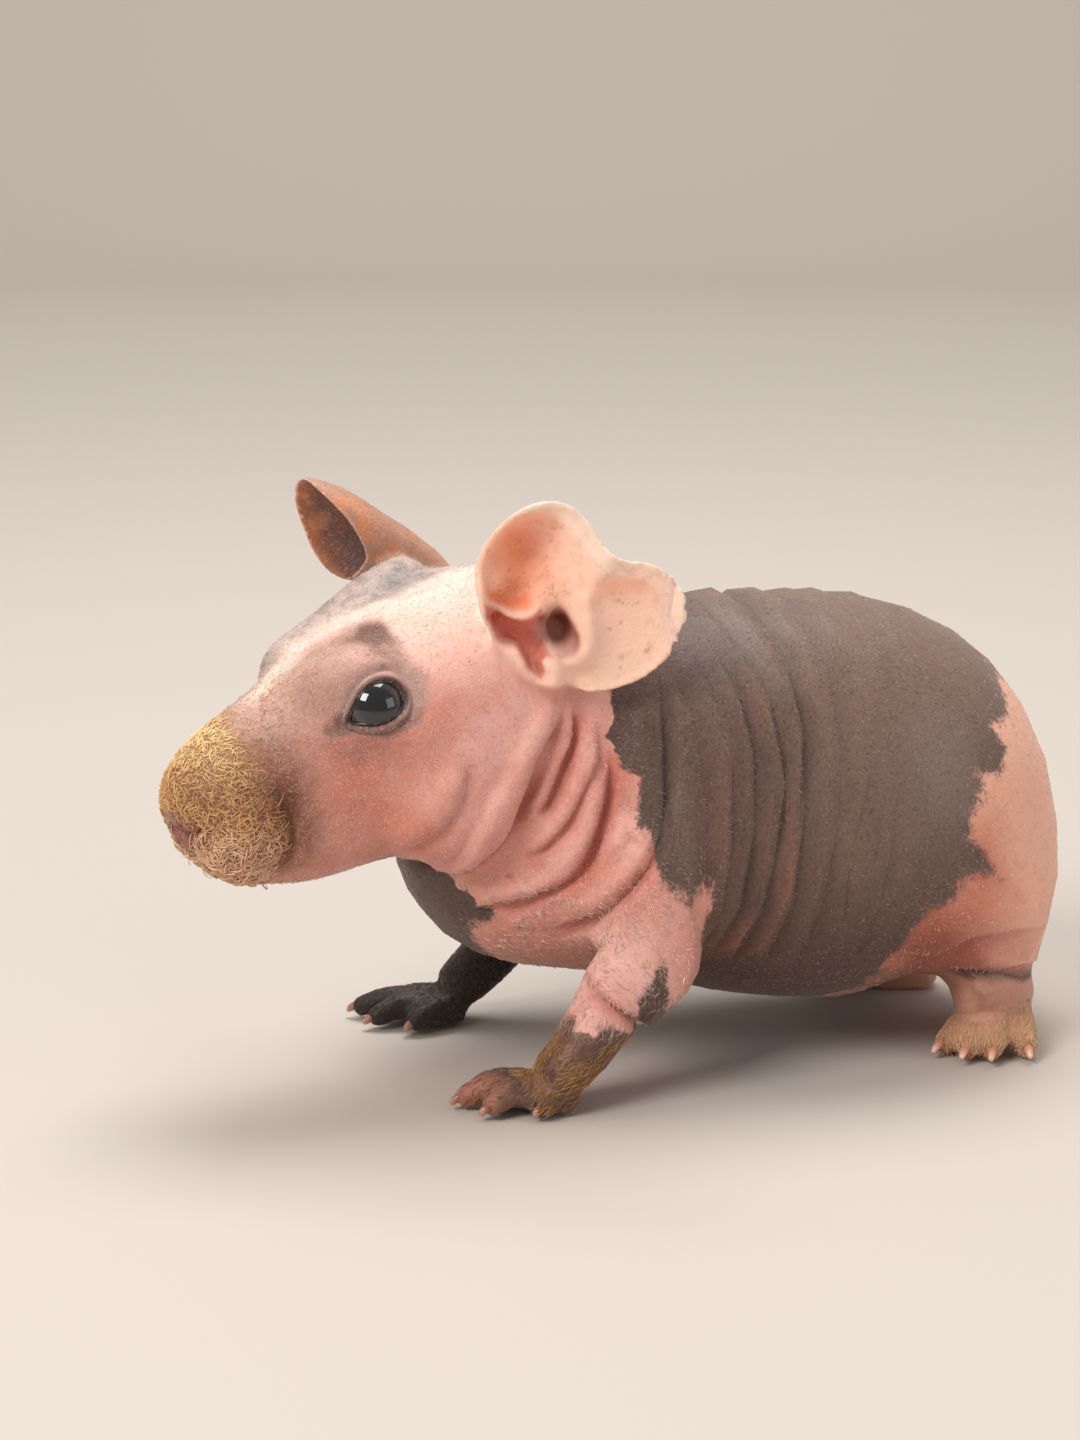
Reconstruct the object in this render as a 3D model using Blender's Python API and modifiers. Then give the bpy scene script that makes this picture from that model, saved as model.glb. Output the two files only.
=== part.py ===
"""A young skinny pig, a hairless guinea pig, life size, standing with its head turned a little.

Metres, +Z up. The nose points along -X, the animal's left side is -Y, and the feet stand at z = 0.
The flesh is modelled as one body out of named masses, and thin cuts then part it into named pieces.
"""

import math

import bmesh
import bpy
import numpy as np
from mathutils import Matrix, Vector

# All sizes below are in millimetres, and MM turns them into metres.
MM = 0.001
GAP = 0.3  # left between pieces that touch
VOXEL = 0.75  # how finely the masses are fused into one flesh
FLESH_FACES = 7200
FINE_WEIGHT = 2e-6  # how strongly the thinning spares the head and the feet
LEFT, RIGHT = -1, 1  # the sign of y on each side of the animal
HEAD_PIVOT = np.array([-4.0, 0.0, 0.0])  # where the head turns on the neck
HEAD_TURN = math.radians(10)  # towards the animal's left

# How far in front of the pivot, top, underside, half width, and height of the widest place.
HEAD_SECTIONS = (
    (65.6, 47.6, 46.8, 0.6, 47.2),  # tip of the nose
    (64.9, 50.4, 43.9, 4.2, 47.0),
    (63.0, 52.9, 41.3, 6.8, 46.4),  # nostrils
    (60.2, 55.8, 37.8, 8.6, 45.0),  # upper lip
    (55.5, 59.0, 34.8, 10.0, 44.5),  # whisker pads
    (49.5, 62.8, 33.4, 11.0, 46.0),  # chin
    (43.5, 66.4, 33.4, 12.6, 50.0),  # front of the eyes
    (37.5, 69.8, 34.8, 14.8, 53.0),  # eyes
    (30.0, 73.4, 36.2, 17.0, 53.0),  # cheeks
    (21.0, 76.6, 37.4, 18.6, 54.0),  # front of the ears
    (11.0, 77.0, 40.0, 18.8, 55.0),  # ears
    (2.0, 73.4, 45.0, 16.5, 57.0),  # nape
    (-5.0, 66.0, 52.0, 9.0, 59.0),  # inside the neck
)

# Place along the body, top, underside, half width, and height of the widest place.
TRUNK_SECTIONS = (
    (-31.2, 33.4, 32.6, 0.6, 33.0),  # front of the chest
    (-30.6, 37.0, 29.4, 5.0, 33.0),
    (-28.8, 42.0, 25.6, 9.5, 34.0),
    (-25.6, 50.0, 21.6, 14.5, 36.0),
    (-20.0, 60.0, 17.8, 18.5, 38.0),
    (-12.0, 68.5, 15.4, 21.3, 40.0),  # neck
    (-3.0, 71.6, 14.0, 23.6, 41.0),
    (7.0, 71.0, 12.0, 26.0, 40.0),  # shoulders
    (17.0, 70.0, 9.4, 28.3, 38.0),
    (28.0, 70.2, 7.6, 29.6, 36.5),  # belly
    (39.0, 69.6, 7.0, 29.6, 35.5),
    (49.0, 67.2, 8.0, 28.2, 35.0),  # loin
    (57.0, 63.2, 9.4, 25.4, 34.0),
    (63.5, 57.4, 10.4, 21.4, 32.5),  # rump
    (68.2, 50.6, 11.0, 16.6, 30.5),
    (71.2, 43.2, 13.0, 11.8, 28.0),
    (72.8, 35.6, 17.0, 6.6, 26.0),
    (73.3, 26.5, 25.5, 0.6, 26.0),
)

# Eyes, in the head's own places: forward, outward, up.
EYE_RADIUS = 5.0
EYE_CENTRE = (37.7, 9.6, 59.8)
EYE_AXIS = (0.30, 0.92, 0.22)
EYE_OPENING = (4.3, 3.0)  # half length and half height between the lids
EYE_SLANT = math.radians(24)  # the outer corner is the higher one
LID = 0.75

# Skin folds on each side of the head and neck, as places of the animal's left side.
NECK_FOLDS = (
    # depth, width, ridge, route
    (1.2, 1.5, 0.8, ((-12.0, -19.5, 55.0), (-15.7, -20.9, 49.9), (-19.0, -19.4, 45.1), (-23.4, -16.4, 40.1),
                     (-28.5, -10.0, 34.9))),
    (0.5, 2.0, 0.3, ((-20.3, -21.9, 51.5), (-24.4, -21.3, 47.5), (-27.6, -19.6, 43.7), (-33.5, -14.5, 38.3))),
    (0.5, 1.1, 0.3, ((-11.0, -20.3, 58.3), (-11.6, -20.4, 52.1), (-13.9, -20.2, 46.5), (-15.9, -19.9, 43.4))),
    (0.5, 1.1, 0.3, ((-6.7, -19.4, 57.9), (-7.9, -21.4, 50.5), (-9.6, -21.8, 44.0), (-13.1, -20.9, 39.8),
                     (-17.9, -19.2, 35.5))),
    (0.8, 1.4, 0.5, ((-6.1, -20.0, 56.9), (-6.0, -21.9, 50.5), (-7.0, -22.5, 42.9), (-10.1, -21.7, 37.1),
                     (-15.4, -19.8, 33.4), (-24.0, -14.7, 29.6))),
    (0.7, 1.5, 0.4, ((-3.1, -23.1, 48.0), (-3.8, -27.0, 39.8), (-5.4, -27.0, 34.8), (-12.3, -19.5, 27.5),
                     (-17.8, -15.4, 24.4))),
    (0.7, 1.2, 0.3, ((3.4, -20.8, 60.5), (2.3, -24.4, 47.4), (0.9, -28.5, 40.6))),
)
# Wrinkles over the back, each with its depth, its width and its route down the left side.
BACK_WRINKLES = (
    (0.8, 1.2, 0.35, ((14.0, -5.0, 70.0), (15.8, -14.0, 66.8), (16.6, -21.5, 60.0), (16.6, -27.0, 48.0),
                     (15.9, -28.0, 37.6), (14.4, -26.8, 29.5), (10.9, -22.4, 22.1))),
    (0.7, 1.1, 0.3, ((20.5, -4.0, 70.0), (21.4, -18.6, 63.6), (20.6, -24.8, 55.8), (20.0, -28.0, 46.4),
                     (19.4, -28.6, 36.4), (17.8, -27.5, 29.6))),
    (0.8, 1.3, 0.35, ((22.5, -4.0, 70.0), (24.2, -19.8, 62.7), (24.5, -25.2, 55.6), (24.1, -28.4, 46.2),
                     (23.0, -29.0, 33.7), (21.6, -27.6, 27.3), (15.9, -23.3, 20.9))),
)


# Each toe of each foot, as its knuckle and its tip.
FORE_TOES = {
    LEFT: (((-20.0, -17.5, 3.4), (-24.5, -14.5, 1.8)),
           ((-22.5, -20.8, 4.2), (-28.8, -19.8, 1.7)),
           ((-21.0, -24.6, 4.4), (-26.2, -25.6, 1.7)),
           ((-16.0, -26.6, 3.6), (-19.0, -28.2, 1.7))),
    RIGHT: (((-21.5, 17.2, 3.8), (-26.0, 15.6, 1.8)),
            ((-25.0, 20.6, 4.2), (-31.2, 20.6, 1.8)),
            ((-25.0, 24.6, 4.2), (-32.0, 27.6, 1.8)),
            ((-19.5, 27.0, 3.4), (-23.5, 31.2, 1.8))),
}
HIND_TOES = {
    LEFT: (((53.0, -16.6, 4.0), (48.4, -19.4, 1.9)),
           ((54.6, -19.2, 5.4), (50.6, -23.6, 2.1)),
           ((57.4, -20.6, 5.8), (54.2, -25.6, 2.1)),
           ((61.6, -20.4, 5.0), (60.2, -25.6, 1.9))),
    RIGHT: (((48.0, 18.4, 4.4), (42.5, 18.8, 1.9)),
            ((48.0, 22.4, 5.0), (42.0, 24.0, 2.1)),
            ((50.0, 26.0, 4.2), (45.5, 28.8, 1.9))),
}

EAR_THICKNESS = 1.1
# The left ear as its opening is seen from outside: (degrees from straight back towards up, reach from the canal).
LEFT_EAR_OUTLINE = ((-67, 7.6), (-43, 11.3), (-29, 14.4), (-16, 17.0), (-3, 18.5), (10, 19.3), (25, 18.8),
                    (36, 17.4), (48, 15.6), (60, 15.9), (72, 18.6), (84, 21.4), (98, 22.3), (112, 21.2),
                    (124, 19.4), (140, 14.5), (156, 10.6), (180, 8.6), (215, 7.4), (250, 7.0), (293, 7.6))
# The same pinna of the right ear, in head places: its root, the middle of its mouth, and how the mouth faces.
RIGHT_EAR_BASE = np.array([12.0, -12.5, 69.0])
RIGHT_EAR_MOUTH = np.array([30.6, -21.2, 80.2])
RIGHT_EAR_OPENING = np.array([0.93, 0.12, -0.24])
RIGHT_EAR_UP = np.array([0.25, -0.06, 0.96])
# The skin drawn up from the right eye to the pricked ear: forward, outward, up, radius.
TEMPLE = ((42.0, 8.0, 63.6, 4.0), (34.5, 8.3, 68.0, 4.6), (28.5, 9.2, 71.0, 5.0), (20.0, 11.5, 73.0, 6.0))

# Where the flesh is parted: planes as a point and a direction, and legs as balls with a skin stretched round them.
NECK_FRONT = ((-2.0, 0, 75.0), (-0.81, 0, 0.59))  # a point, and the way to the head
NECK_BACK = ((10.0, 0, 71.0), (-0.837, 0, 0.547))  # a point, and the way to the neck
LEG_REGIONS = {
    "foreleg_left": (((1, -26, 28), 11.0), ((4, -28, 14), 7.0), ((-24, -16, 1), 8.0), ((-26, -22, 1), 8.0),
                     ((-17, -29, 1), 6.0)),
    "foreleg_right": (((-1, 25, 27), 11.0), ((1, 25, 14), 7.0), ((-28, 17, 1), 8.0), ((-30, 26, 1), 8.0),
                      ((-22, 31, 1), 6.0)),
    "hindleg_left": (((55, -23, 27), 12.0), ((50, -25, 14), 7.0), ((66, -5, 2), 7.0), ((48, -20, 1), 6.0),
                     ((60, -26, 1), 6.0), ((66, -16, 8), 7.0)),
    "hindleg_right": (((54, 23.5, 27), 12.0), ((48, 25, 14), 7.0), ((64, 14.5, 2), 7.0), ((43, 19, 1), 6.0),
                      ((46, 29, 1), 6.0), ((63, 19, 8), 7.0)),
}
FOOT_PLANES = {
    "foreleg_left": ((-11.2, -25, 9.0), (-0.77, 0, -0.63)),
    "foreleg_right": ((-12.8, 21, 9.0), (-0.77, 0, -0.63)),
    "hindleg_left": ((61, -15, 9.0), (-0.1, -0.1, -1)),
    "hindleg_right": ((58, 18, 8.6), (-0.2, 0, -1)),
}

ANIMAL = "skinny_pig"
SHARP_EDGE = math.radians(50)
# The colour, as linear red, green and blue, and the roughness of each finish.
FINISHES = {
    "pink skin": ((0.72, 0.33, 0.25), 0.55),
    "dark skin": ((0.10, 0.072, 0.060), 0.6),
    "pale skin": ((0.50, 0.27, 0.17), 0.55),
    "ear": ((0.86, 0.52, 0.38), 0.5),
    "eye": ((0.012, 0.011, 0.011), 0.06),
    "claw": ((0.55, 0.36, 0.27), 0.35),
}


def clear_scene():
    for thing in list(bpy.data.objects):
        bpy.data.objects.remove(thing)


def smoothstep(low, high, value):
    t = np.clip((value - low) / (high - low), 0, 1)
    return t * t * (3 - 2 * t)


def spline(knots, values, at):
    """A smooth curve through values at knots, read at the places in at."""
    knots, values, at = np.asarray(knots, float), np.asarray(values, float), np.asarray(at, float)
    slopes = np.gradient(values, knots, axis=0)
    place = np.clip(np.searchsorted(knots, at) - 1, 0, len(knots) - 2)
    width = knots[place + 1] - knots[place]
    t = (at - knots[place]) / width
    shape = at.shape + (1,) * (values.ndim - 1)
    t, width = t.reshape(shape), width.reshape(shape)
    return (
        values[place] * (1 + 2 * t) * (1 - t) ** 2
        + slopes[place] * width * t * (1 - t) ** 2
        + values[place + 1] * t * t * (3 - 2 * t)
        + slopes[place + 1] * width * t * t * (t - 1)
    )


def add_object(name, body):
    """The object of a bmesh, which it ends."""
    body.normal_update()
    bmesh.ops.recalc_face_normals(body, faces=body.faces)
    mesh = bpy.data.meshes.new(name)
    body.to_mesh(mesh)
    body.free()
    made = bpy.data.objects.new(name, mesh)
    bpy.context.scene.collection.objects.link(made)
    return made


def closed_mesh(name, rings):
    """A closed skin over rings, an array of ring by point by xyz, with its two ends capped."""
    count, sides = rings.shape[:2]
    body = bmesh.new()
    corners = [body.verts.new(point) for point in (rings.reshape(-1, 3) * MM).tolist()]
    for r in range(count - 1):
        for s in range(sides):
            ahead = (s + 1) % sides
            body.faces.new([corners[r * sides + s], corners[r * sides + ahead],
                            corners[(r + 1) * sides + ahead], corners[(r + 1) * sides + s]])
    body.faces.new(corners[:sides])
    body.faces.new(corners[-sides:])
    return add_object(name, body)


def loft(name, sections, rings=70, sides=48, fullness=2.2):
    """An egg-like body through sections along x, each a rounded shape with its own top, underside and width."""
    table = np.array(sections)
    share = np.linspace(0, 1, len(table))
    x, top, low, half, wide = spline(share, table, np.linspace(0, 1, rings)).T[:, :, None]
    angle = np.linspace(0, 2 * math.pi, sides, endpoint=False)[None]
    across = np.sign(np.cos(angle)) * np.abs(np.cos(angle)) ** (2 / fullness)
    upward = np.sign(np.sin(angle)) * np.abs(np.sin(angle)) ** (2 / fullness)
    z = wide + np.where(upward > 0, top - wide, wide - low) * upward
    return closed_mesh(name, np.stack([x + 0 * across, half * across, z], axis=2))


def sweep(name, path, rings=16, sides=16):
    """A tube with rounded ends along path, rows of x, y, z, half width and half height."""
    path = np.array(path, float)
    share = np.linspace(0, 1, len(path))
    line = spline(share, path, np.concatenate([[0.0, 0.03], np.linspace(0.08, 0.92, rings - 4), [0.97, 1.0]]))
    along = np.gradient(line[:, :3], axis=0)
    along /= np.linalg.norm(along, axis=1)[:, None]
    across = np.cross([0, 0, 1.0], along)
    flat = np.linalg.norm(across, axis=1)[:, None]
    across = np.where(flat > 0.2, across / np.maximum(flat, 1e-9), [0, 1.0, 0])
    upward = np.cross(along, across)
    taper = np.ones((rings, 1, 1))
    taper[[0, -1]] = 0.35
    taper[[1, -2]] = 0.78
    angle = np.linspace(0, 2 * math.pi, sides, endpoint=False)[None, :, None]
    ring = line[:, None, 3:4] * np.cos(angle) * across[:, None] + line[:, None, 4:5] * np.sin(angle) * upward[:, None]
    return closed_mesh(name, line[:, None, :3] + taper * ring)


def ellipsoid(name, centre, radii, turn=(0, 0, 0), segments=32):
    place = Matrix.Translation(Vector(centre) * MM)
    for axis, degrees in zip("XYZ", turn):
        place = place @ Matrix.Rotation(math.radians(degrees), 4, axis)
    body = bmesh.new()
    bmesh.ops.create_uvsphere(body, u_segments=segments, v_segments=segments * 5 // 8, radius=1)
    body.transform(place @ Matrix.Diagonal((*[r * MM for r in radii], 1)))
    return add_object(name, body)


def head_axes():
    """The head's forward, left and up directions, as rows."""
    c, s = math.cos(HEAD_TURN), math.sin(HEAD_TURN)
    return np.array([[-c, -s, 0], [s, -c, 0], [0, 0, 1]])


def head_to_world(points):
    return HEAD_PIVOT + np.asarray(points, float) @ head_axes()


def world_to_head(points):
    return (np.asarray(points, float) - HEAD_PIVOT) @ head_axes().T


def points_of(thing):
    found = np.empty(len(thing.data.vertices) * 3)
    thing.data.vertices.foreach_get("co", found)
    return found.reshape(-1, 3) / MM


def normals_of(thing):
    found = np.empty(len(thing.data.vertices) * 3)
    thing.data.vertices.foreach_get("normal", found)
    return found.reshape(-1, 3)


def move_points(thing, points):
    thing.data.vertices.foreach_set("co", (np.asarray(points) * MM).ravel())
    thing.data.update()


def settle(thing):
    """Makes the result of the object's modifiers its own mesh."""
    graph = bpy.context.evaluated_depsgraph_get()
    mesh = bpy.data.meshes.new_from_object(thing.evaluated_get(graph))
    thing.modifiers.clear()
    thing.data = mesh
    return thing


def combine(base, operation, others):
    """Joins others to base, or cuts them from it, and removes them."""
    extra = bpy.data.collections.new("operands")
    bpy.context.scene.collection.children.link(extra)
    for other in others:
        bpy.context.scene.collection.objects.unlink(other)
        extra.objects.link(other)
    change = base.modifiers.new("change", "BOOLEAN")
    change.operation = operation
    change.operand_type = "COLLECTION"
    change.collection = extra
    change.solver = "MANIFOLD"
    settle(base)
    for other in others:
        bpy.data.objects.remove(other)
    bpy.data.collections.remove(extra)
    return base


def head_mass():
    head = loft("head_mass", HEAD_SECTIONS)
    move_points(head, head_to_world(points_of(head)))
    return head


def head_bump(name, centre, radii, side):
    """A rounded mass at a head place: forward, outward, up."""
    place = head_to_world((centre[0], -side * centre[1], centre[2]))
    return ellipsoid(f"{name}{side}", place, radii, (0, 0, math.degrees(HEAD_TURN)), 24)


def forelimb(side, shoulder, elbow, forearm, wrist, toes):
    """toes are (knuckle, tip) pairs."""
    pieces = [
        sweep(f"arm{side}", [
            (*shoulder, 11.5, 12.5),
            (0.55 * shoulder[0] + 0.45 * elbow[0] - 2.5, 0.4 * shoulder[1] + 0.6 * elbow[1],
             0.5 * (shoulder[2] + elbow[2]), 8.4, 9.6),
            (elbow[0] - 1.0, elbow[1], elbow[2] + 3.5, 5.6, 5.6),
            (*elbow, 3.6, 3.4),
        ]),
        sweep(f"forearm{side}", [
            (forearm[0] + 4.5, forearm[1] + 1.5, forearm[2] + 7.0, 6.2, 6.4),
            (*forearm, 4.9, 5.2),
            (*wrist, 4.7, 4.3),
            (wrist[0] - 4.0, wrist[1], wrist[2] - 3.2, 5.0, 3.2),
        ]),
    ]
    for k, (knuckle, tip) in enumerate(toes):
        root = (0.5 * (wrist[0] + knuckle[0]) + 1.5, 0.6 * wrist[1] + 0.4 * knuckle[1], 2.3)
        pieces.append(sweep(f"finger{side}_{k}", [
            (*root, 2.9, 3.0),
            (knuckle[0], knuckle[1], knuckle[2] - 0.7, 2.1, 2.4),
            (0.45 * knuckle[0] + 0.55 * tip[0], 0.45 * knuckle[1] + 0.55 * tip[1],
             0.45 * knuckle[2] + 0.55 * tip[2] - 0.1, 1.9, 2.0),
            (tip[0], tip[1], tip[2] - 0.5, 1.7, 1.9),
        ], rings=12, sides=12))
    return pieces


def hindlimb(side, thigh, knee, ankle, heel, toes):
    pieces = [
        ellipsoid(f"thigh{side}", thigh, (17.0, 9.5, 17.5), (0, 20, 0)),
        sweep(f"shank{side}", [
            (*knee, 7.5, 7.5),
            (0.5 * (knee[0] + ankle[0]), 0.5 * (knee[1] + ankle[1]), 0.5 * (knee[2] + ankle[2]), 6.4, 6.4),
            (*ankle, 5.2, 5.0),
            (0.4 * ankle[0] + 0.6 * heel[0], 0.4 * ankle[1] + 0.6 * heel[1], 5.0, 4.4, 4.0),
        ]),
    ]
    for k, (knuckle, tip) in enumerate(toes):
        middle = (0.5 * (heel[0] + knuckle[0]), 0.5 * (heel[1] + knuckle[1]), 3.2)
        pieces.append(sweep(f"toe{side}_{k}", [
            (heel[0], heel[1], heel[2] - 1.0, 3.4, 3.4),
            (*middle, 3.2, 4.0),
            (knuckle[0], knuckle[1], knuckle[2] - 0.9, 2.2, 2.8),
            (tip[0], tip[1], tip[2] - 0.6, 1.8, 2.0),
        ], rings=14, sides=12))
    return pieces


def fused_flesh():
    """The masses joined, remeshed evenly, and the folds between them rounded over."""
    trunk = loft("flesh", TRUNK_SECTIONS)
    pieces = [head_mass(), ellipsoid("neck_mass", (-8.5, -0.5, 51.5), (18, 20.5, 22.3), (0, -24, 0))]
    for side in (LEFT, RIGHT):
        pieces += [
            head_bump("brow", (38.8, 7.2, 62.6), (9.5, 5.6, 6.2), side),
            head_bump("whisker_pad", (56.6, 6.2, 42.0), (6.0, 4.8, 6.4), side),
            head_bump("cheek", (27.0, 10.5, 46.0), (12.0, 8.0, 10.0), side),
        ]
    temple = [(*head_to_world((f, -o, z)), radius, radius) for f, o, z, radius in TEMPLE]
    pieces.append(sweep("temple", temple))
    pieces += forelimb(LEFT, (2, -17, 39), (3.0, -25.5, 17.0), (-8.0, -24.6, 14.0), (-12.6, -25.0, 8.0),
                       FORE_TOES[LEFT])
    pieces += forelimb(RIGHT, (0, 16, 38), (0.0, 23.0, 17.0), (-9.0, 20.6, 14.0), (-14.0, 21.0, 8.0),
                       FORE_TOES[RIGHT])
    pieces += hindlimb(LEFT, (52, -16.5, 25), (49.0, -20.5, 16.0), (60.8, -15.0, 9.5), (66.0, -5.0, 3.4),
                       HIND_TOES[LEFT])
    pieces += hindlimb(RIGHT, (51, 17.0, 25), (47.0, 20.5, 16.0), (58.0, 17.5, 9.0), (64.0, 14.5, 3.4),
                       HIND_TOES[RIGHT])
    combine(trunk, "UNION", pieces)
    remesh = trunk.modifiers.new("even", "REMESH")
    remesh.mode = "VOXEL"
    remesh.voxel_size = VOXEL * MM
    settle(trunk)
    points = points_of(trunk)
    head = world_to_head(points)
    detailed = np.maximum(smoothstep(12.5, 8.5, points[:, 2]), 0.6 * smoothstep(50, 58, head[:, 0]))
    for share, name, rounds in ((1 - detailed, "body", 26), (np.ones(len(points)), "all", 5)):
        group = trunk.vertex_groups.new(name=name)
        for level in np.unique(np.round(share, 1)):
            if level > 0:
                group.add(np.nonzero(np.round(share, 1) == level)[0].tolist(), level, "REPLACE")
        rounding = trunk.modifiers.new(name, "SMOOTH")
        rounding.factor = 0.5
        rounding.iterations = rounds
        rounding.vertex_group = name
    settle(trunk)
    trunk.vertex_groups.clear()
    return trunk


def crease(points, normals, route, depth, width, ridge, ends=0.2, front=1):
    """Presses a groove along route into the skin, and raises a soft roll on its front side, and a little behind."""
    route = np.array(route, float)
    reach = 4 * width
    near = np.nonzero(((points > route.min(0) - reach) & (points < route.max(0) + reach)).all(axis=1))[0]
    if not len(near):
        return
    share = np.linspace(0, 1, 150)
    line = spline(np.linspace(0, 1, len(route)), route, share)
    along = np.gradient(line, axis=0)
    offsets = points[near][:, None] - line[None]
    nearest = np.linalg.norm(offsets, axis=2).argmin(axis=1)
    offset = offsets[np.arange(len(near)), nearest]
    away = np.linalg.norm(offset, axis=1)
    ahead = np.cross(along[nearest], normals[near]) * front
    ahead /= np.linalg.norm(ahead, axis=1)[:, None]
    towards = (offset * ahead).sum(axis=1) / np.maximum(away, 1e-6)
    lopsided = 0.6 + 0.4 * smoothstep(-0.5, 0.5, towards)
    fade = smoothstep(0, ends, share[nearest]) * smoothstep(0, ends, 1 - share[nearest])
    roll = ridge * lopsided * np.exp(-(((away - 2.1 * width) / (1.1 * width)) ** 2))
    push = roll - depth * np.exp(-((away / width) ** 2))
    points[near] += normals[near] * (push * fade)[:, None]


def eye_frame(side):
    """The centre of an eyeball, and its forward-to-back, upward and outward directions, in world places."""
    def to_side(v):
        return np.array([v[0], -side * v[1], v[2]])
    outward = to_side(EYE_AXIS) / np.linalg.norm(EYE_AXIS)
    back = to_side((-math.cos(EYE_SLANT), 0, math.sin(EYE_SLANT)))
    back = back - outward * (back @ outward)
    back /= np.linalg.norm(back)
    up = np.cross(outward, back) * (1 if side == LEFT else -1)
    if up[2] < 0:
        up = -up
    turned = np.array([back, up, outward]) @ head_axes()
    return head_to_world(to_side(EYE_CENTRE)), turned


def open_lids(points, side):
    """Moves the skin round an eye on to its lids, and behind the eyeball's front between them."""
    centre, (back, up, outward) = eye_frame(side)
    offset = points - centre
    distance = np.linalg.norm(offset, axis=1)
    ray = offset / distance[:, None]
    u, v, n = offset @ back, offset @ up, offset @ outward
    half, high = EYE_OPENING
    span = np.hypot(u / half, v / (high * (1 + 0.04 * u)))
    inside = smoothstep(1.1, 0.88, span)
    rim = np.exp(-(((span - 1.22) / 0.16) ** 2))
    wanted = EYE_RADIUS + LID * (1 - inside) + 0.3 * rim - 1.6 * inside
    hold = np.where((n > 0) & (distance < 3 * EYE_RADIUS), smoothstep(1.8, 1.15, span), 0)
    points += ray * ((wanted - distance) * hold)[:, None]


def thinned(flesh):
    """The flesh with fewer faces, most of them on the head and the feet."""
    points = points_of(flesh)
    head = world_to_head(points)
    fine = np.maximum(smoothstep(14, 9, points[:, 2]), 0.55 * smoothstep(8, 22, head[:, 0]) * (points[:, 2] > 30))
    eye = np.minimum(*[np.linalg.norm(points - eye_frame(side)[0], axis=1) for side in (LEFT, RIGHT)])
    fine = np.maximum(fine, 0.95 * smoothstep(10, 7, eye))
    fine = np.maximum(fine, 0.8 * smoothstep(54, 59, head[:, 0]))
    coarse = np.round(np.maximum(1 - fine, 0.1), 1)
    group = flesh.vertex_groups.new(name="coarse")
    for level in np.unique(coarse):
        group.add(np.nonzero(coarse == level)[0].tolist(), level, "REPLACE")
    thin = flesh.modifiers.new("thin", "DECIMATE")
    thin.ratio = FLESH_FACES / (2 * len(points))
    thin.vertex_group = "coarse"
    thin.vertex_group_factor = FINE_WEIGHT
    settle(flesh)
    flesh.vertex_groups.clear()
    return flesh


def shaped_flesh():
    flesh = fused_flesh()
    points, normals = points_of(flesh), normals_of(flesh)
    mirror = np.array([1, -1, 1])
    for depth, width, ridge, route in NECK_FOLDS + BACK_WRINKLES:
        crease(points, normals, np.array(route), depth, width, ridge)
        crease(points, normals, np.array(route) * mirror, depth, width, ridge, front=-1)
    for side in (LEFT, RIGHT):
        def head_route(places):
            return head_to_world([(f, -side * o, z) for f, o, z in places])
        # The slit of the nostril, the lips, the back of the whisker pad, and the fold over the eye.
        crease(points, normals, head_route([(64.6, 0.8, 43.6), (63.8, 3.2, 43.2), (62.4, 6.6, 44.4)]), 1.5, 0.9, 0.3)
        crease(points, normals, head_route([(63.6, 0, 42.6), (61.0, 0, 39.0), (59.6, 2.2, 37.0), (56.5, 4.6, 35.6),
                                            (52.5, 6.4, 35.8)]), 1.2, 0.8, 0.3, 0.1)
        crease(points, normals, head_route([(52.6, 9.4, 50.0), (50.7, 10.8, 45.6), (51.1, 9.6, 40.4),
                                            (52.8, 8.0, 37.8)]), 0.3, 1.5, 0.2)
        crease(points, normals, head_route([(44.0, 10.4, 61.6), (41.6, 9.6, 65.4), (37.0, 10.6, 66.6),
                                            (32.8, 13.4, 64.0)]), 0.6, 0.9, 0.35)
        open_lids(points, side)
    move_points(flesh, points)
    rounding = flesh.modifiers.new("rounding", "SMOOTH")
    rounding.factor = 0.5
    rounding.iterations = 2
    return thinned(settle(flesh))


def rise(at, middle, width):
    """A soft bump of height 1."""
    return np.exp(-(((at - middle) / width) ** 2))


def ear_outline(table, angle):
    """The reach of the ear's rim at each angle, which runs round and round."""
    turns = np.array([(a + lap * 360, reach) for lap in (-1, 0, 1) for a, reach in table[:-1]])
    return spline(turns[:, 0], turns[:, 1], np.degrees(angle))


def left_ear_height(back, up, share, angle):
    """How far the ear's face stands out, at a place given back and up from the canal's middle."""
    canal = np.hypot((back - 0.5) / 5.8, (up - 0.2) / 3.7)
    height = -7.0 * (1 - smoothstep(0.35, 1.2, canal))
    height -= 3.4 * np.exp(-(((back + 2.5) / 6.2) ** 2 + ((up - 13.5) / 5.6) ** 2))
    height += 1.5 * np.exp(-(((up - 5.8) / 1.3) ** 2)) * smoothstep(1.5, -2, back) * smoothstep(-11, -7, back)
    ridge = np.abs(back * math.sin(math.radians(56)) - up * math.cos(math.radians(56)))
    height += 1.3 * np.exp(-((ridge / 2.6) ** 2)) * smoothstep(0.45, 0.8, share) * smoothstep(-2, 3, back)
    height -= 1.0 * np.exp(-(((back - 11.5) / 6) ** 2 + ((up + 1) / 7.5) ** 2))
    degrees = np.degrees(angle) % 360
    rolled = smoothstep(80, 105, degrees) * smoothstep(165, 145, degrees)
    height += 2.2 * rolled * smoothstep(0.7, 1, share)
    sunk = smoothstep(150, 175, degrees) * smoothstep(296, 276, degrees)
    return height - 3.2 * sunk * smoothstep(0.6, 1, share)


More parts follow.
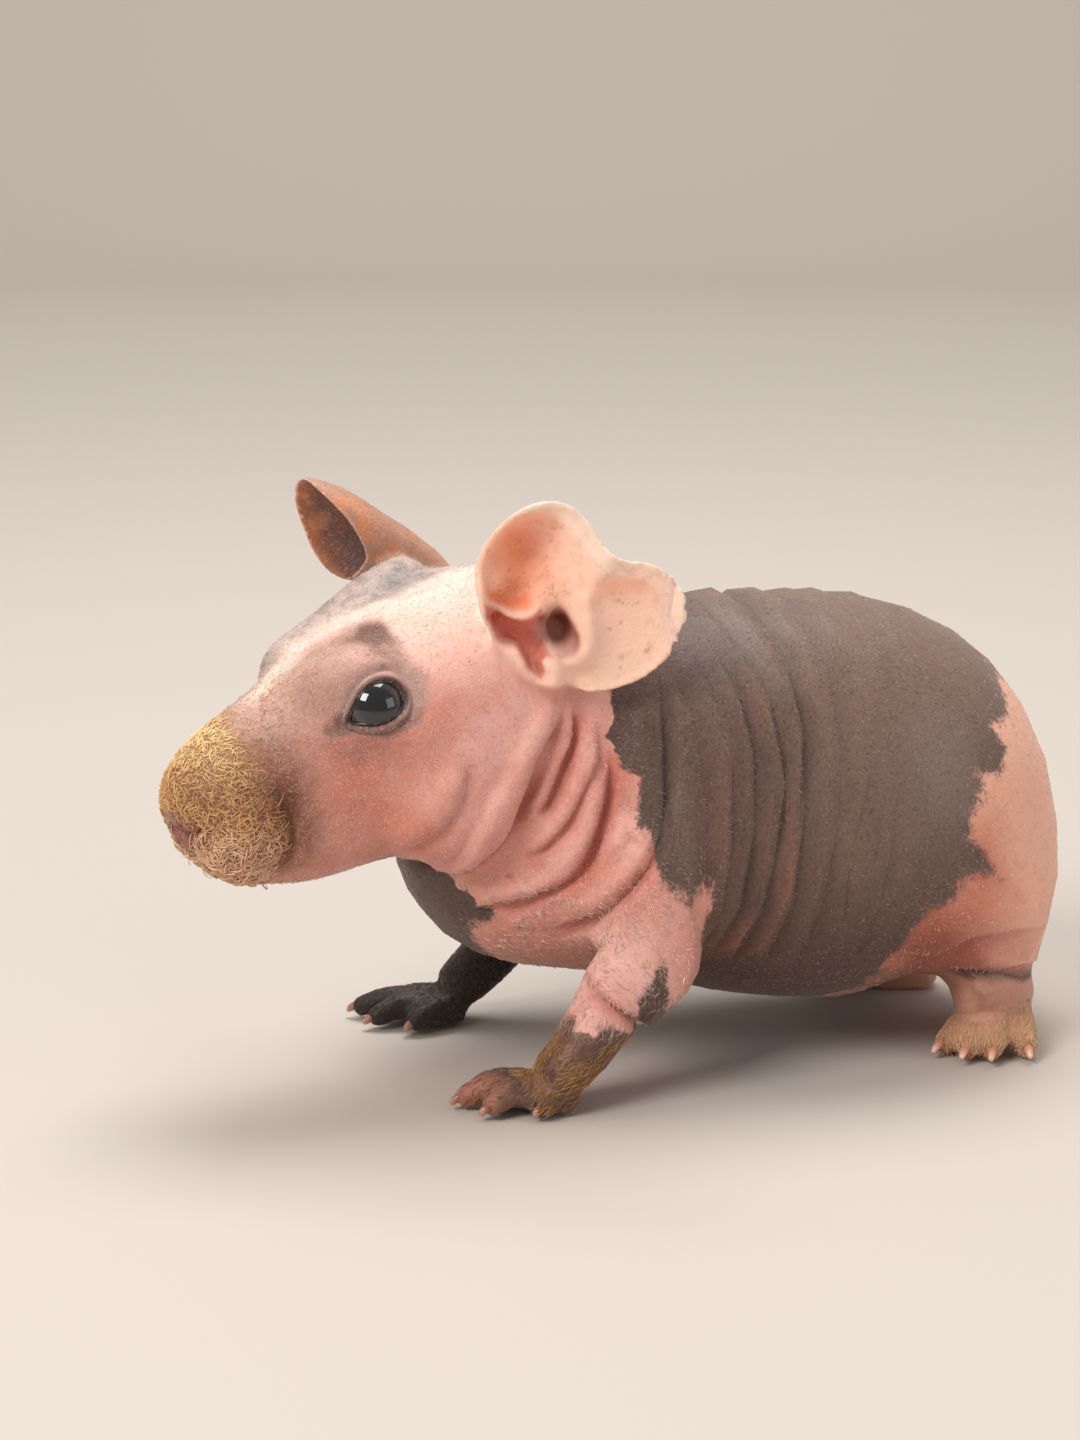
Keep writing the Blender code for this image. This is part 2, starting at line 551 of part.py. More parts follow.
def ear_places(side, share, angle, spread=0.0):
    """Places of the ear's middle layer. share runs from the bottom of the canal to the rim."""
    reach = ear_outline(LEFT_EAR_OUTLINE, angle)
    if side == LEFT:
        canal, back, up = np.array([14.2, 20.0, 67.6]), np.array([-0.93, 0.32, 0.17]), np.array([0.09, 0.09, 0.99])
        out = np.cross(back, up)
        run = share * (reach + spread)
        b, u = run * np.cos(angle), run * np.sin(angle)
        height = left_ear_height(b, u, share, angle)
        return head_to_world(canal + b[..., None] * back + u[..., None] * up + height[..., None] * out)
    # The right ear is pricked forward: the same pinna gathered into a cup that opens to the front.
    across = np.cross(RIGHT_EAR_UP, RIGHT_EAR_OPENING)
    degrees = np.degrees(angle) % 360
    wide = 7.6 + 0.5 * np.cos(angle)
    high = 7.6 + 1.5 * rise(degrees, 85, 30) + 1.2 * rise(degrees, 235, 30) - 1.2 * rise(degrees, 300, 30)
    slant = 2.4 * np.sin(angle) + 1.6 * rise(degrees, 220, 40)
    flare = (0.55 + 0.45 * smoothstep(0.1, 0.95, share)) * smoothstep(-0.02, 0.16, share)
    bow = 9.0 * share * (1 - share)
    middle = RIGHT_EAR_BASE + (RIGHT_EAR_MOUTH - RIGHT_EAR_BASE) * (share**0.9)[..., None]
    return head_to_world(
        middle
        + (flare * (wide + spread) * np.cos(angle))[..., None] * across
        + (flare * (high + spread) * np.sin(angle) + bow)[..., None] * RIGHT_EAR_UP
        + (slant * share**2)[..., None] * RIGHT_EAR_OPENING
    )


def face_outwards(thing):
    body = bmesh.new()
    body.from_mesh(thing.data)
    bmesh.ops.recalc_face_normals(body, faces=body.faces)
    body.to_mesh(thing.data)
    body.free()
    return thing


def ear_sheet(name, side, thickness, spread=0.0, around=32, along=10):
    """The ear as a thin closed wall about its middle layer."""
    share, angle = np.meshgrid(np.linspace(0, 1, along) ** 1.3, np.linspace(0, 2 * math.pi, around, endpoint=False),
                               indexing="ij")
    places = ear_places(side, share, angle, spread) * MM
    body = bmesh.new()
    rows = [[body.verts.new(point) for point in row] for row in places[1:].tolist()]
    centre = body.verts.new(places[0].mean(axis=0))
    for k in range(around):
        body.faces.new([centre, rows[0][k], rows[0][(k + 1) % around]])
        for near, far in zip(rows, rows[1:]):
            body.faces.new([near[k], far[k], far[(k + 1) % around], near[(k + 1) % around]])
    bmesh.ops.recalc_face_normals(body, faces=body.faces)
    mesh = bpy.data.meshes.new(name)
    body.to_mesh(mesh)
    body.free()
    made = bpy.data.objects.new(name, mesh)
    bpy.context.scene.collection.objects.link(made)
    wall = made.modifiers.new("wall", "SOLIDIFY")
    wall.thickness = thickness * MM
    wall.offset = 0
    wall.use_even_offset = True
    return face_outwards(settle(made))


def half_space(name, point, normal, inset):
    """A large block on the far side of a plane, in the direction of normal, inset from it."""
    size = 0.4
    body = bmesh.new()
    bmesh.ops.create_cube(body, size=size)
    body.transform(Matrix.Translation((0, 0, size / 2)))
    normal = Vector(normal).normalized()
    body.transform(Matrix.Translation((Vector(point) + normal * inset) * MM)
                   @ normal.to_track_quat("Z", "Y").to_matrix().to_4x4())
    return add_object(name, body)


def hull(name, balls, grow=0.0, sides=12):
    """The closed shape stretched round balls, each a centre and a radius."""
    body = bmesh.new()
    turn, rise = np.meshgrid(np.arange(sides) * 2 * math.pi / sides, np.linspace(-1, 1, sides // 2 + 1)[1:-1])
    flat = np.sqrt(1 - rise**2)
    ball = np.stack([flat * np.cos(turn), flat * np.sin(turn), rise], axis=-1).reshape(-1, 3)
    for centre, radius in balls:
        for point in np.concatenate([ball, [(0, 0, 1), (0, 0, -1)]]):
            body.verts.new((np.array(centre) + (radius + grow) * point) * MM)
    bmesh.ops.convex_hull(body, input=body.verts)
    bmesh.ops.delete(body, geom=[corner for corner in body.verts if not corner.link_faces], context="VERTS")
    return add_object(name, body)


def keep_largest(thing):
    """Drops all but the largest closed surface, as a cut can leave scraps."""
    body = bmesh.new()
    body.from_mesh(thing.data)
    body.verts.ensure_lookup_table()
    islands, seen = [], set()
    for start in body.verts:
        if start in seen:
            continue
        seen.add(start)
        island, edge_of_it = [], [start]
        while edge_of_it:
            corner = edge_of_it.pop()
            island.append(corner)
            for edge in corner.link_edges:
                other = edge.other_vert(corner)
                if other not in seen:
                    seen.add(other)
                    edge_of_it.append(other)
        islands.append(island)
    largest = max(islands, key=len)
    for island in islands:
        if island is not largest:
            bmesh.ops.delete(body, geom=island, context="VERTS")
    body.to_mesh(thing.data)
    body.free()
    return thing


def part_of(flesh, name, keep=(), drop=()):
    """The stretch of flesh inside every solid of keep and outside every one of drop."""
    piece = bpy.data.objects.new(name, flesh.data.copy())
    bpy.context.scene.collection.objects.link(piece)
    for solid in keep:
        combine(piece, "INTERSECT", [solid])
    if drop:
        combine(piece, "DIFFERENCE", list(drop))
    return keep_largest(piece)


def toe_claw(name, knuckle, tip, grow=0.0):
    """A curved claw out of the end of a toe."""
    knuckle, tip = np.array(knuckle), np.array(tip)
    ahead = (tip - knuckle) * (1, 1, 0)
    ahead /= np.linalg.norm(ahead)
    start = tip + (0, 0, 0.1) - 0.9 * ahead
    path = [
        (*(start - 0.6 * ahead), 0.75 + grow, 0.7 + grow),
        (*(start + 0.9 * ahead + (0, 0, 0.1)), 0.7 + grow, 0.65 + grow),
        (*(start + 2.4 * ahead - (0, 0, 0.1)), 0.5 + grow, 0.45 + grow),
        (*(start + 3.6 * ahead - (0, 0, 0.7)), 0.3 + grow, 0.25 + grow),
    ]
    return sweep(name, path, rings=7, sides=6)


def canal_hollow(name, side):
    """What the ear's canal leaves open in the head."""
    share, angle = np.meshgrid(np.linspace(0.1, 0.42, 8), np.linspace(0, 2 * math.pi, 32, endpoint=False),
                               indexing="ij")
    rings = ear_places(side, share, angle)
    outward = head_axes()[1] * -side
    return closed_mesh(name, np.concatenate([rings, rings[-1:] + 8 * outward]))


def finished(piece, finish):
    """Puts a piece in the animal's collection, with a material of its own, shaded smooth."""
    colour, roughness = FINISHES[finish]
    material = bpy.data.materials.new(piece.name)
    material.use_nodes = True
    shader = material.node_tree.nodes["Principled BSDF"]
    shader.inputs["Base Color"].default_value = (*colour, 1)
    shader.inputs["Roughness"].default_value = roughness
    shader.inputs["Metallic"].default_value = 0
    piece.data.materials.clear()
    piece.data.materials.append(material)
    piece.data.shade_smooth()
    piece.data.set_sharp_from_angle(angle=SHARP_EDGE)
    for holder in list(piece.users_collection):
        holder.objects.unlink(piece)
    bpy.data.collections[ANIMAL].objects.link(piece)


def leg_and_foot(flesh, leg, foot, finishes, toes):
    """The leg, its foot and the claws of its toes."""
    balls = LEG_REGIONS[leg]
    point, normal = FOOT_PLANES[leg]
    sockets = [toe_claw("socket", knuckle, tip, GAP) for knuckle, tip in toes]
    below = half_space("below", point, normal, GAP / 2)
    above = half_space("above", point, [-n for n in normal], GAP / 2)
    finished(part_of(flesh, foot, [hull("region", balls), below], sockets), finishes[1])
    finished(part_of(flesh, leg, [hull("region", balls), above]), finishes[0])
    for k, (knuckle, tip) in enumerate(toes):
        finished(toe_claw(f"claw_{foot}_{k + 1}", knuckle, tip), "claw")


def trunk_and_neck(flesh):
    def legs():
        return [hull("region", balls, GAP) for balls in LEG_REGIONS.values()]

    finished(part_of(flesh, "torso", [beyond(NECK_BACK, -1)], legs()), "dark skin")
    finished(part_of(flesh, "neck", [beyond(NECK_BACK, 1), beyond(NECK_FRONT, -1)], legs()), "pink skin")


def beyond(plane, sign):
    """All that lies on one side of a cutting plane, half a gap clear of it."""
    point, normal = plane
    return half_space("side", point, [sign * n for n in normal], GAP / 2)


def head_with_ears_and_eyes(flesh):
    sockets = []
    for side, word in ((LEFT, "left"), (RIGHT, "right")):
        finished(ear_sheet(f"ear_{word}", side, EAR_THICKNESS), "ear")
        finished(ellipsoid(f"eye_{word}", eye_frame(side)[0], (EYE_RADIUS,) * 3, segments=16), "eye")
        sockets += [
            ear_sheet("seat", side, EAR_THICKNESS + 2 * GAP, GAP),
            canal_hollow("hollow", side),
            ellipsoid("socket", eye_frame(side)[0], (EYE_RADIUS + GAP,) * 3, segments=16),
        ]
    finished(part_of(flesh, "head", [beyond(NECK_FRONT, 1)], sockets), "pink skin")


def stand_over_origin():
    """Hangs every piece on one empty, placed so that the middle of the animal's box is over the origin."""
    pieces = list(bpy.data.collections[ANIMAL].objects)
    corners = np.concatenate([points_of(piece) for piece in pieces])
    middle = (corners.min(axis=0) + corners.max(axis=0)) / 2
    root = bpy.data.objects.new("root", None)
    bpy.data.collections[ANIMAL].objects.link(root)
    root.location = (-middle[0] * MM, -middle[1] * MM, 0)
    for piece in pieces:
        piece.parent = root


def main():
    clear_scene()
    bpy.context.scene.collection.children.link(bpy.data.collections.new(ANIMAL))
    flesh = shaped_flesh()
    combine(flesh, "DIFFERENCE", [half_space("floor", (0, 0, 0), (0, 0, -1), 0)])
    leg_and_foot(flesh, "foreleg_left", "forefoot_left", ("pink skin", "dark skin"), FORE_TOES[LEFT])
    leg_and_foot(flesh, "foreleg_right", "forefoot_right", ("dark skin", "dark skin"), FORE_TOES[RIGHT])
    leg_and_foot(flesh, "hindleg_left", "hindfoot_left", ("pink skin", "pale skin"), HIND_TOES[LEFT])
    leg_and_foot(flesh, "hindleg_right", "hindfoot_right", ("pink skin", "pale skin"), HIND_TOES[RIGHT])
    trunk_and_neck(flesh)
    head_with_ears_and_eyes(flesh)
    bpy.data.objects.remove(flesh)
    stand_over_origin()


main()
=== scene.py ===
"""A young skinny pig, life size: the looks round its solids.

A bare folded skin over the whole body, two ears, wet dark eyes, horn claws, curls on the muzzle and short
hair elsewhere. Sizes are in millimetres in the animal's own places, as it was measured: nose towards -X, its
left side towards -Y.
"""

import math

import bmesh
import bpy
import numpy as np
from mathutils import Matrix, Vector
from mathutils.kdtree import KDTree


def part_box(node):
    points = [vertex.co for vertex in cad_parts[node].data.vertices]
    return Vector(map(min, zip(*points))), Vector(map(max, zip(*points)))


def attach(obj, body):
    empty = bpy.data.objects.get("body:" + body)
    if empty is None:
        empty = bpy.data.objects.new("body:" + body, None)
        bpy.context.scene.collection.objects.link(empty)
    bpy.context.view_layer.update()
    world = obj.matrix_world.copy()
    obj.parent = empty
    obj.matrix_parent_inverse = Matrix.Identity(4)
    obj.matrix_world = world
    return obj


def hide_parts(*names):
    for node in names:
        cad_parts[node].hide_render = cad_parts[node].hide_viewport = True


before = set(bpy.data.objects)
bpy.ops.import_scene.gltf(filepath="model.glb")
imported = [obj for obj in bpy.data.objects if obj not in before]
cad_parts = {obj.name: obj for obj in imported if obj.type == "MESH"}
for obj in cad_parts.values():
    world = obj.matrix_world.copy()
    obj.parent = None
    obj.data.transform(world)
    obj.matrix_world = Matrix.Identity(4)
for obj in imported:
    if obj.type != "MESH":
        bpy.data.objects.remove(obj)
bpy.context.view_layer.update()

# The room: a pale seamless floor that curves up behind, and large soft lamps, as in a small photo studio.
# The camera stands low on the animal's left, a little in front, and looks down slightly.
MM = 0.001
# The head has its own directions, turned a little to the animal's left: forward, left and up.
EYE_CENTRE = np.array([37.7, 9.6, 59.8])  # in the head: forward, outward, up
HEAD_PIVOT = np.array([-4.0, 0.0, 0.0])
HEAD_TURN = math.radians(10)
HEAD_AXES = np.array([
    [-math.cos(HEAD_TURN), -math.sin(HEAD_TURN), 0],
    [math.sin(HEAD_TURN), -math.cos(HEAD_TURN), 0],
    [0, 0, 1],
])
LEFT, RIGHT = -1, 1
SIDES = ((LEFT, "left"), (RIGHT, "right"))


def head_to_body(places):
    """Head places (forward, left, up) as the body's x, y, z."""
    return HEAD_PIVOT + np.asarray(places, float) @ HEAD_AXES


def body_to_head(places):
    return (np.asarray(places, float) - HEAD_PIVOT) @ HEAD_AXES.T


low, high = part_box("eye_left")
# The solids stand over the middle of their box, so their places differ from the measured ones by this much.
SHIFT = np.array((low + high) / 2) / MM - head_to_body(EYE_CENTRE * (1, -LEFT, 1))

FLOOR_DEPTH, FLOOR_WIDTH, WALL_HEIGHT, SWEEP_RADIUS = 2.4, 5.0, 1.6, 0.6


def studio_floor():
    profile = [(-1.4, 0.0), (FLOOR_DEPTH - SWEEP_RADIUS, 0.0)]
    for step in range(1, 13):
        turn = math.pi / 2 * step / 12
        profile.append((FLOOR_DEPTH - SWEEP_RADIUS + SWEEP_RADIUS * math.sin(turn),
                        SWEEP_RADIUS - SWEEP_RADIUS * math.cos(turn)))
    profile.append((FLOOR_DEPTH, WALL_HEIGHT))
    body = bmesh.new()
    rows = [[body.verts.new((side * FLOOR_WIDTH / 2, y, z)) for side in (-1, 1)] for y, z in profile]
    for near, far in zip(rows, rows[1:]):
        body.faces.new((near[0], near[1], far[1], far[0]))
    mesh = bpy.data.meshes.new("studio_floor")
    body.to_mesh(mesh)
    body.free()
    mesh.shade_smooth()
    made = bpy.data.objects.new("studio_floor", mesh)
    bpy.context.scene.collection.objects.link(made)
    # The sweep stands square to the camera.
    made.rotation_euler = (0, 0, CAMERA_TURN)
    return made


CAMERA_AT = np.array([-145.1, -417.2, 145.9])
CAMERA_TURN = math.radians(-18)  # round the animal from its left side towards its nose
CAMERA_DOWN = math.radians(12)
CAMERA_LENS = 75.0

camera_data = bpy.data.cameras.new("camera")
camera_data.sensor_fit = "VERTICAL"
camera_data.sensor_height = 36.0
camera_data.lens = CAMERA_LENS
camera_data.clip_start = 0.01
camera = bpy.data.objects.new("camera", camera_data)
camera.location = (CAMERA_AT + SHIFT) * MM
camera.rotation_euler = (math.pi / 2 - CAMERA_DOWN, 0, CAMERA_TURN)
bpy.context.scene.collection.objects.link(camera)
bpy.context.scene.camera = camera

floor_finish = bpy.data.materials.new("studio_floor")
floor_finish.use_nodes = True
floor_finish.node_tree.nodes["Principled BSDF"].inputs["Base Color"].default_value = (0.56, 0.505, 0.46, 1)
floor_finish.node_tree.nodes["Principled BSDF"].inputs["Roughness"].default_value = 0.9
floor = studio_floor()
floor.data.materials.append(floor_finish)
bpy.context.scene.view_settings.view_transform = "Standard"

world = bpy.data.worlds.new("studio")
world.use_nodes = True
world.node_tree.nodes["Background"].inputs["Color"].default_value = (1.0, 0.97, 0.94, 1)
world.node_tree.nodes["Background"].inputs["Strength"].default_value = 0.36
bpy.context.scene.world = world


def softbox(name, place, aim, size, watts, colour):
    data = bpy.data.lights.new(name, "AREA")
    data.shape = "RECTANGLE"
    data.size, data.size_y = size
    data.energy = watts
    data.color = colour
    lamp = bpy.data.objects.new(name, data)
    lamp.location = place
    lamp.rotation_euler = (Vector(aim) - Vector(place)).to_track_quat("-Z", "Y").to_euler()
    bpy.context.scene.collection.objects.link(lamp)


softbox("key", (-0.65, -0.42, 0.68), (-0.01, 0, 0.04), (0.42, 0.42), 6.6, (1.0, 0.97, 0.93))
softbox("top", (0.10, 0.22, 0.95), (0, 0, 0.03), (0.6, 0.6), 8.0, (1.0, 0.98, 0.96))
softbox("fill", (0.7, -0.7, 0.35), (0.02, 0, 0.04), (0.6, 0.5), 1.4, (0.96, 0.97, 1.0))
softbox("backdrop", (0.3, 1.0, 1.5), (0.7, 2.4, 0.6), (2.4, 0.8), 20.0, (1.0, 0.97, 0.92))

# The two ears: each a wide thin pinna of the same skin, with a folded hollow at its root that leads into the
# canal. The near one lies open to the side, and the far one is pricked forward and gathered into a cup.
EAR_WALL = 1.0
EAR_CENTRE = np.array([14.2, 20.0, 67.6])  # the left canal's middle, in the head
EAR_BACK, EAR_UP = np.array([-0.93, 0.32, 0.17]), np.array([0.09, 0.09, 0.99])
EAR_OUT = np.cross(EAR_BACK, EAR_UP)
# The rim as its opening is seen from outside: (degrees from straight back towards up, reach from the canal).
EAR_OUTLINE = ((-67, 7.6), (-43, 11.3), (-29, 14.4), (-16, 17.0), (-3, 18.5), (10, 19.3), (25, 18.8),
               (36, 17.4), (48, 15.6), (60, 15.9), (72, 18.6), (84, 21.4), (98, 22.3), (112, 21.2),
               (124, 19.4), (140, 14.5), (156, 10.6), (180, 8.6), (215, 7.4), (250, 7.0), (293, 7.6))
CUP_ROOT, CUP_MOUTH = np.array([12.0, -12.5, 69.0]), np.array([30.6, -21.2, 80.2])
CUP_OPENING, CUP_UP = np.array([0.93, 0.12, -0.24]), np.array([0.25, -0.06, 0.96])


def step(low, high, value):
    """0 below low, 1 above high, and a smooth rise between."""
    t = np.clip((value - low) / (high - low), 0, 1)
    return t * t * (3 - 2 * t)


def bump(at, middle, width):
    return np.exp(-(((at - middle) / width) ** 2))


def curve(knots, values, at):
    """A smooth curve through values at knots, read at the places in at."""
    knots, values, at = np.asarray(knots, float), np.asarray(values, float), np.asarray(at, float)
    slopes = np.gradient(values, knots, axis=0)
    place = np.clip(np.searchsorted(knots, at) - 1, 0, len(knots) - 2)
    width = knots[place + 1] - knots[place]
    t = (at - knots[place]) / width
    shape = at.shape + (1,) * (values.ndim - 1)
    t, width = t.reshape(shape), width.reshape(shape)
    return (
        values[place] * (1 + 2 * t) * (1 - t) ** 2
        + slopes[place] * width * t * (1 - t) ** 2
        + values[place + 1] * t * t * (3 - 2 * t)
        + slopes[place + 1] * width * t * t * (t - 1)
    )


def read_line(line, at):
    knots, values = np.array(line, float).T
    return np.interp(at, knots, values)


def near_line(x, y, line):
    """How far points (x, y) are from a drawn line of points, and how far along it they are, from 0 to 1."""
    line = curve(np.linspace(0, 1, len(line)), np.array(line, float), np.linspace(0, 1, 60))
    away = np.hypot(x[..., None] - line[:, 0], y[..., None] - line[:, 1])
    return away.min(axis=-1), away.argmin(axis=-1) / 59


def rim_reach(degrees):
    turns = np.array([(a + lap * 360, reach) for lap in (-1, 0, 1) for a, reach in EAR_OUTLINE[:-1]])
    return curve(turns[:, 0], turns[:, 1], degrees)


def on_near_ear(places):
    """Where places lie on the near ear: back, up and out from the canal's middle, share of the way to the
    rim, and degrees round it."""
    offset = body_to_head(places) - EAR_CENTRE
    back, up, out = (offset @ (axis / np.linalg.norm(axis)) for axis in (EAR_BACK, EAR_UP, EAR_OUT))
    degrees = np.degrees(np.arctan2(up, back))
    return back, up, out, np.hypot(back, up) / rim_reach(degrees), degrees % 360


def canal(back, up):
    """The two hollows of the canal: the pink front one, under the ledge, and the deeper brown one behind
    it."""
    ledge = 5.35 + 0.14 * (back + 4.3) ** 2
    flap = np.interp(up, (-4, -2.4, 1.3, 2.5, 8), (-2.7, -4.1, -5.5, -8.4, -9.2))
    wall = np.interp(up, (-6.4, -4.7, -2.4, -1.1, -0.3, 0.3), (-4.0, -3.1, -2.2, -2.3, -1.4, -1.1))
    front = step(-0.3, 0.35, back - flap) * step(0.3, -0.3, back - wall) * step(0.3, -0.3, up - ledge)
    wide = 2.6 - 0.14 * np.clip(up - 2, 0, 5)
    rear = np.hypot((back - 1.15 + 0.12 * (up - 2)) / wide, (up - 2.1) / np.where(up > 2.1, 5.2, 3.2))
    return front, step(1.1, 0.78, rear), ledge, flap


def ear_relief(back, up, share, angle):
    """How far the near ear's face stands out from its plane, at a place back and up from the canal's
    middle."""
    front, rear, ledge, flap = canal(back, up)
    height = -np.maximum(3.4 * front, 6.6 * rear * (0.25 + 0.75 * step(7.2, 2.5, up)))
    # The rolled ledge over the canal's front, the pit at its tip, the pocket above it and the flap below it.
    height += 1.5 * bump(up - ledge, 0.75, 0.75) * step(-9.4, -8.2, back) * step(-0.8, -2.6, back)
    height -= 2.4 * np.exp(-(((back + 5.6) / 3.0) ** 2 + ((up - 8.9) / 1.9) ** 2))
    height -= 2.6 * bump(np.hypot(back + 8.9, (up - 6.4) * 0.8), 0, 0.9)
    height += 1.3 * bump(back - flap, -1.1, 1.1) * step(-6.5, -3, up) * step(3.4, 1.6, up)
    # The lobe's finger of skin, the groove behind it, and the canal's rolled rear edge.
    away, _ = near_line(back, up, [(-0.9, -1.7), (-0.6, -3.0), (-1.0, -5.0), (-2.2, -7.0)])
    height += 1.9 * bump(away, 0, 1.35)
    away, _ = near_line(back, up, [(1.0, -1.9), (2.3, -2.9), (3.1, -4.6)])
    height -= 1.1 * bump(away, 0, 0.6)
    away, _ = near_line(back, up, [(4.6, 6.5), (4.9, 2.0), (4.1, -0.9), (2.4, -2.0)])
    height += 1.2 * bump(away, 0, 1.2)
    # The deep upper bowl, the broad ridge behind it, and the shallow dish of the rear half.
    height -= 3.4 * np.exp(-(((back + 2.2) / 4.6) ** 2 + ((up - 15.4) / 5.0) ** 2))
    ridge = np.abs(back * math.sin(math.radians(56)) - up * math.cos(math.radians(56)))
    height += 1.0 * bump(ridge, 0, 2.4) * step(0.42, 0.75, share) * step(-2, 3, back)
    height -= 0.8 * np.exp(-(((back - 11.0) / 5.0) ** 2 + ((up - 1.0) / 7.0) ** 2))
    # The front of the rim is rolled over, and its edge runs down to the pit.
    degrees = np.degrees(angle) % 360
    from_rim = np.hypot(back, up) * (1 / share - 1)
    height += 1.5 * bump(from_rim, 1.2, 1.5) * step(84, 100, degrees) * step(178, 158, degrees)
    height += 0.5 * bump(from_rim, 0.6, 0.8)
    height += 1.5 * step(-8.7, -9.5, back) * step(4.0, 6.0, up) * step(15, 11, up)
    # The front of the ear sinks into the head.
    return height - 3.2 * step(150, 175, degrees) * step(296, 276, degrees) * step(0.6, 1, share)


def ear_places(side, share, angle):
    """Places of the ear's middle layer. share runs from the bottom of the canal to the rim."""
    if side == LEFT:
        run = share * rim_reach(np.degrees(angle))
        back, up = run * np.cos(angle), run * np.sin(angle)
        out = ear_relief(back, up, share, angle)
        return EAR_CENTRE + back[..., None] * EAR_BACK + up[..., None] * EAR_UP + out[..., None] * EAR_OUT
    degrees = np.degrees(angle) % 360
    wide = 7.6 + 0.5 * np.cos(angle)
    high = 7.6 + 1.5 * bump(degrees, 85, 30) + 1.2 * bump(degrees, 235, 30) - 1.2 * bump(degrees, 300, 30)
    slant = 2.4 * np.sin(angle) + 1.6 * bump(degrees, 220, 40)
    flare = (0.55 + 0.45 * step(0.1, 0.95, share)) * step(-0.02, 0.16, share)
    bow = 9.0 * share * (1 - share)
    middle = CUP_ROOT + (CUP_MOUTH - CUP_ROOT) * (share**0.9)[..., None]
    return (
        middle
        + (flare * wide * np.cos(angle))[..., None] * np.cross(CUP_UP, CUP_OPENING)
        + (flare * high * np.sin(angle) + bow)[..., None] * CUP_UP
        + (slant * share**2)[..., None] * CUP_OPENING
    )


def new_object(name, body):
    mesh = bpy.data.meshes.new(name)
    body.to_mesh(mesh)
    body.free()
    made = bpy.data.objects.new(name, mesh)
    bpy.context.scene.collection.objects.link(made)
    return made


def places_of(mesh):
    found = np.empty(len(mesh.vertices) * 3)
    mesh.vertices.foreach_get("co", found)
    return found.reshape(-1, 3) / MM - SHIFT


def set_places(mesh, places):
    mesh.vertices.foreach_set("co", ((places + SHIFT) * MM).ravel())
    mesh.update()


def normals_of(mesh):
    found = np.empty(len(mesh.vertices) * 3)
    mesh.vertices.foreach_get("normal", found)
    return found.reshape(-1, 3)


def applied(thing):
    """Makes the result of the object's modifiers its own mesh."""
    graph = bpy.context.evaluated_depsgraph_get()
    mesh = bpy.data.meshes.new_from_object(thing.evaluated_get(graph))
    thing.modifiers.clear()
    old, thing.data = thing.data, mesh
    bpy.data.meshes.remove(old)
    return thing


def remeshed(thing, size):
    even = thing.modifiers.new("even", "REMESH")
    even.mode = "VOXEL"
    even.voxel_size = size * MM
    return applied(thing)


def bands(body, rows):
    """Faces all the way round between each row of points and the next."""
    for near, far in zip(rows, rows[1:]):
        count = len(near)
        for k in range(count):
            body.faces.new((near[k], far[k], far[(k + 1) % count], near[(k + 1) % count]))


def ear_wall(side, word, around=190, along=60):
    """The ear as a thin closed wall, thinner towards its rim."""
    share, angle = np.meshgrid(np.linspace(0.02, 1, along),
                               np.linspace(0, 2 * math.pi, around, endpoint=False),
                               indexing="ij")
    middle = head_to_body(ear_places(side, share, angle))
    across = np.roll(middle, -1, axis=1) - np.roll(middle, 1, axis=1)
    normal = np.cross(across, np.gradient(middle, axis=0))
    normal /= np.maximum(np.linalg.norm(normal, axis=2), 1e-9)[..., None]
    # The root is thicker, as it fills its seat in the head.
    half = EAR_WALL / 2 * (1 - 0.25 * share**2) + 0.45 * step(0.5, 0.3, share)
    if side == LEFT:
        degrees = np.degrees(angle) % 360
        half += 0.45 * step(150, 175, degrees) * step(296, 276, degrees) * step(0.3, 0.5, share)
    half = half[..., None]
    body = bmesh.new()
    sheets = []
    for sheet in (middle + half * normal, middle - half * normal):
        places = ((sheet + SHIFT) * MM).tolist()
        sheets.append([[body.verts.new(place) for place in row] for row in places])
    for rows in sheets:
        bands(body, rows)
    for row in (0, -1):
        one, two = sheets[0][row], sheets[1][row]
        for k in range(around):
            body.faces.new((one[k], one[(k + 1) % around], two[(k + 1) % around], two[k]))
    bmesh.ops.recalc_face_normals(body, faces=body.faces)
    return remeshed(new_object(f"ear_wall_{word}", body), 0.3)


# The flesh: one bare skin from the nose to the rump and down to the toes. It starts from the solids, with the
# thin cuts between them closed, and the ears grow out of it. It is soft, so it hangs in rolled folds at the
# neck and shoulder and in fine wrinkles over the back.
FLESH_NODES = ["head", "neck", "torso"] + [
    f"{limb}{part}_{word}" for limb in ("fore", "hind") for part in ("leg", "foot") for _, word in SIDES
]
SWELL = 0.25  # closes the cuts between the solids, and is taken off again
SKIN_GRID = 0.36
EYE_RADIUS = 5.0
LET_OUT = 0.6  # what easing takes off the body all round
WRINKLE_DEPTH = 0.26


def swollen_copy(node):
    """A CAD solid as one closed mesh, a little larger all round."""
    body = bmesh.new()
    body.from_mesh(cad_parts[node].data)
    bmesh.ops.remove_doubles(body, verts=body.verts, dist=1e-7)
    made = new_object(f"copy_{node}", body)
    set_places(made.data, places_of(made.data) + SWELL * normals_of(made.data))
    return made


def joined(pieces, name):
    """The pieces united into one closed mesh."""
    base, *others = pieces
    holder = bpy.data.collections.new("joining")
    bpy.context.scene.collection.children.link(holder)
    for other in others:
        bpy.context.scene.collection.objects.unlink(other)
        holder.objects.link(other)
    unite = base.modifiers.new("unite", "BOOLEAN")
    unite.operation = "UNION"
    unite.operand_type = "COLLECTION"
    unite.collection = holder
    unite.solver = "MANIFOLD"
    applied(base)
    for other in others:
        bpy.data.objects.remove(other)
    bpy.data.collections.remove(holder)
    base.name = name
    return base


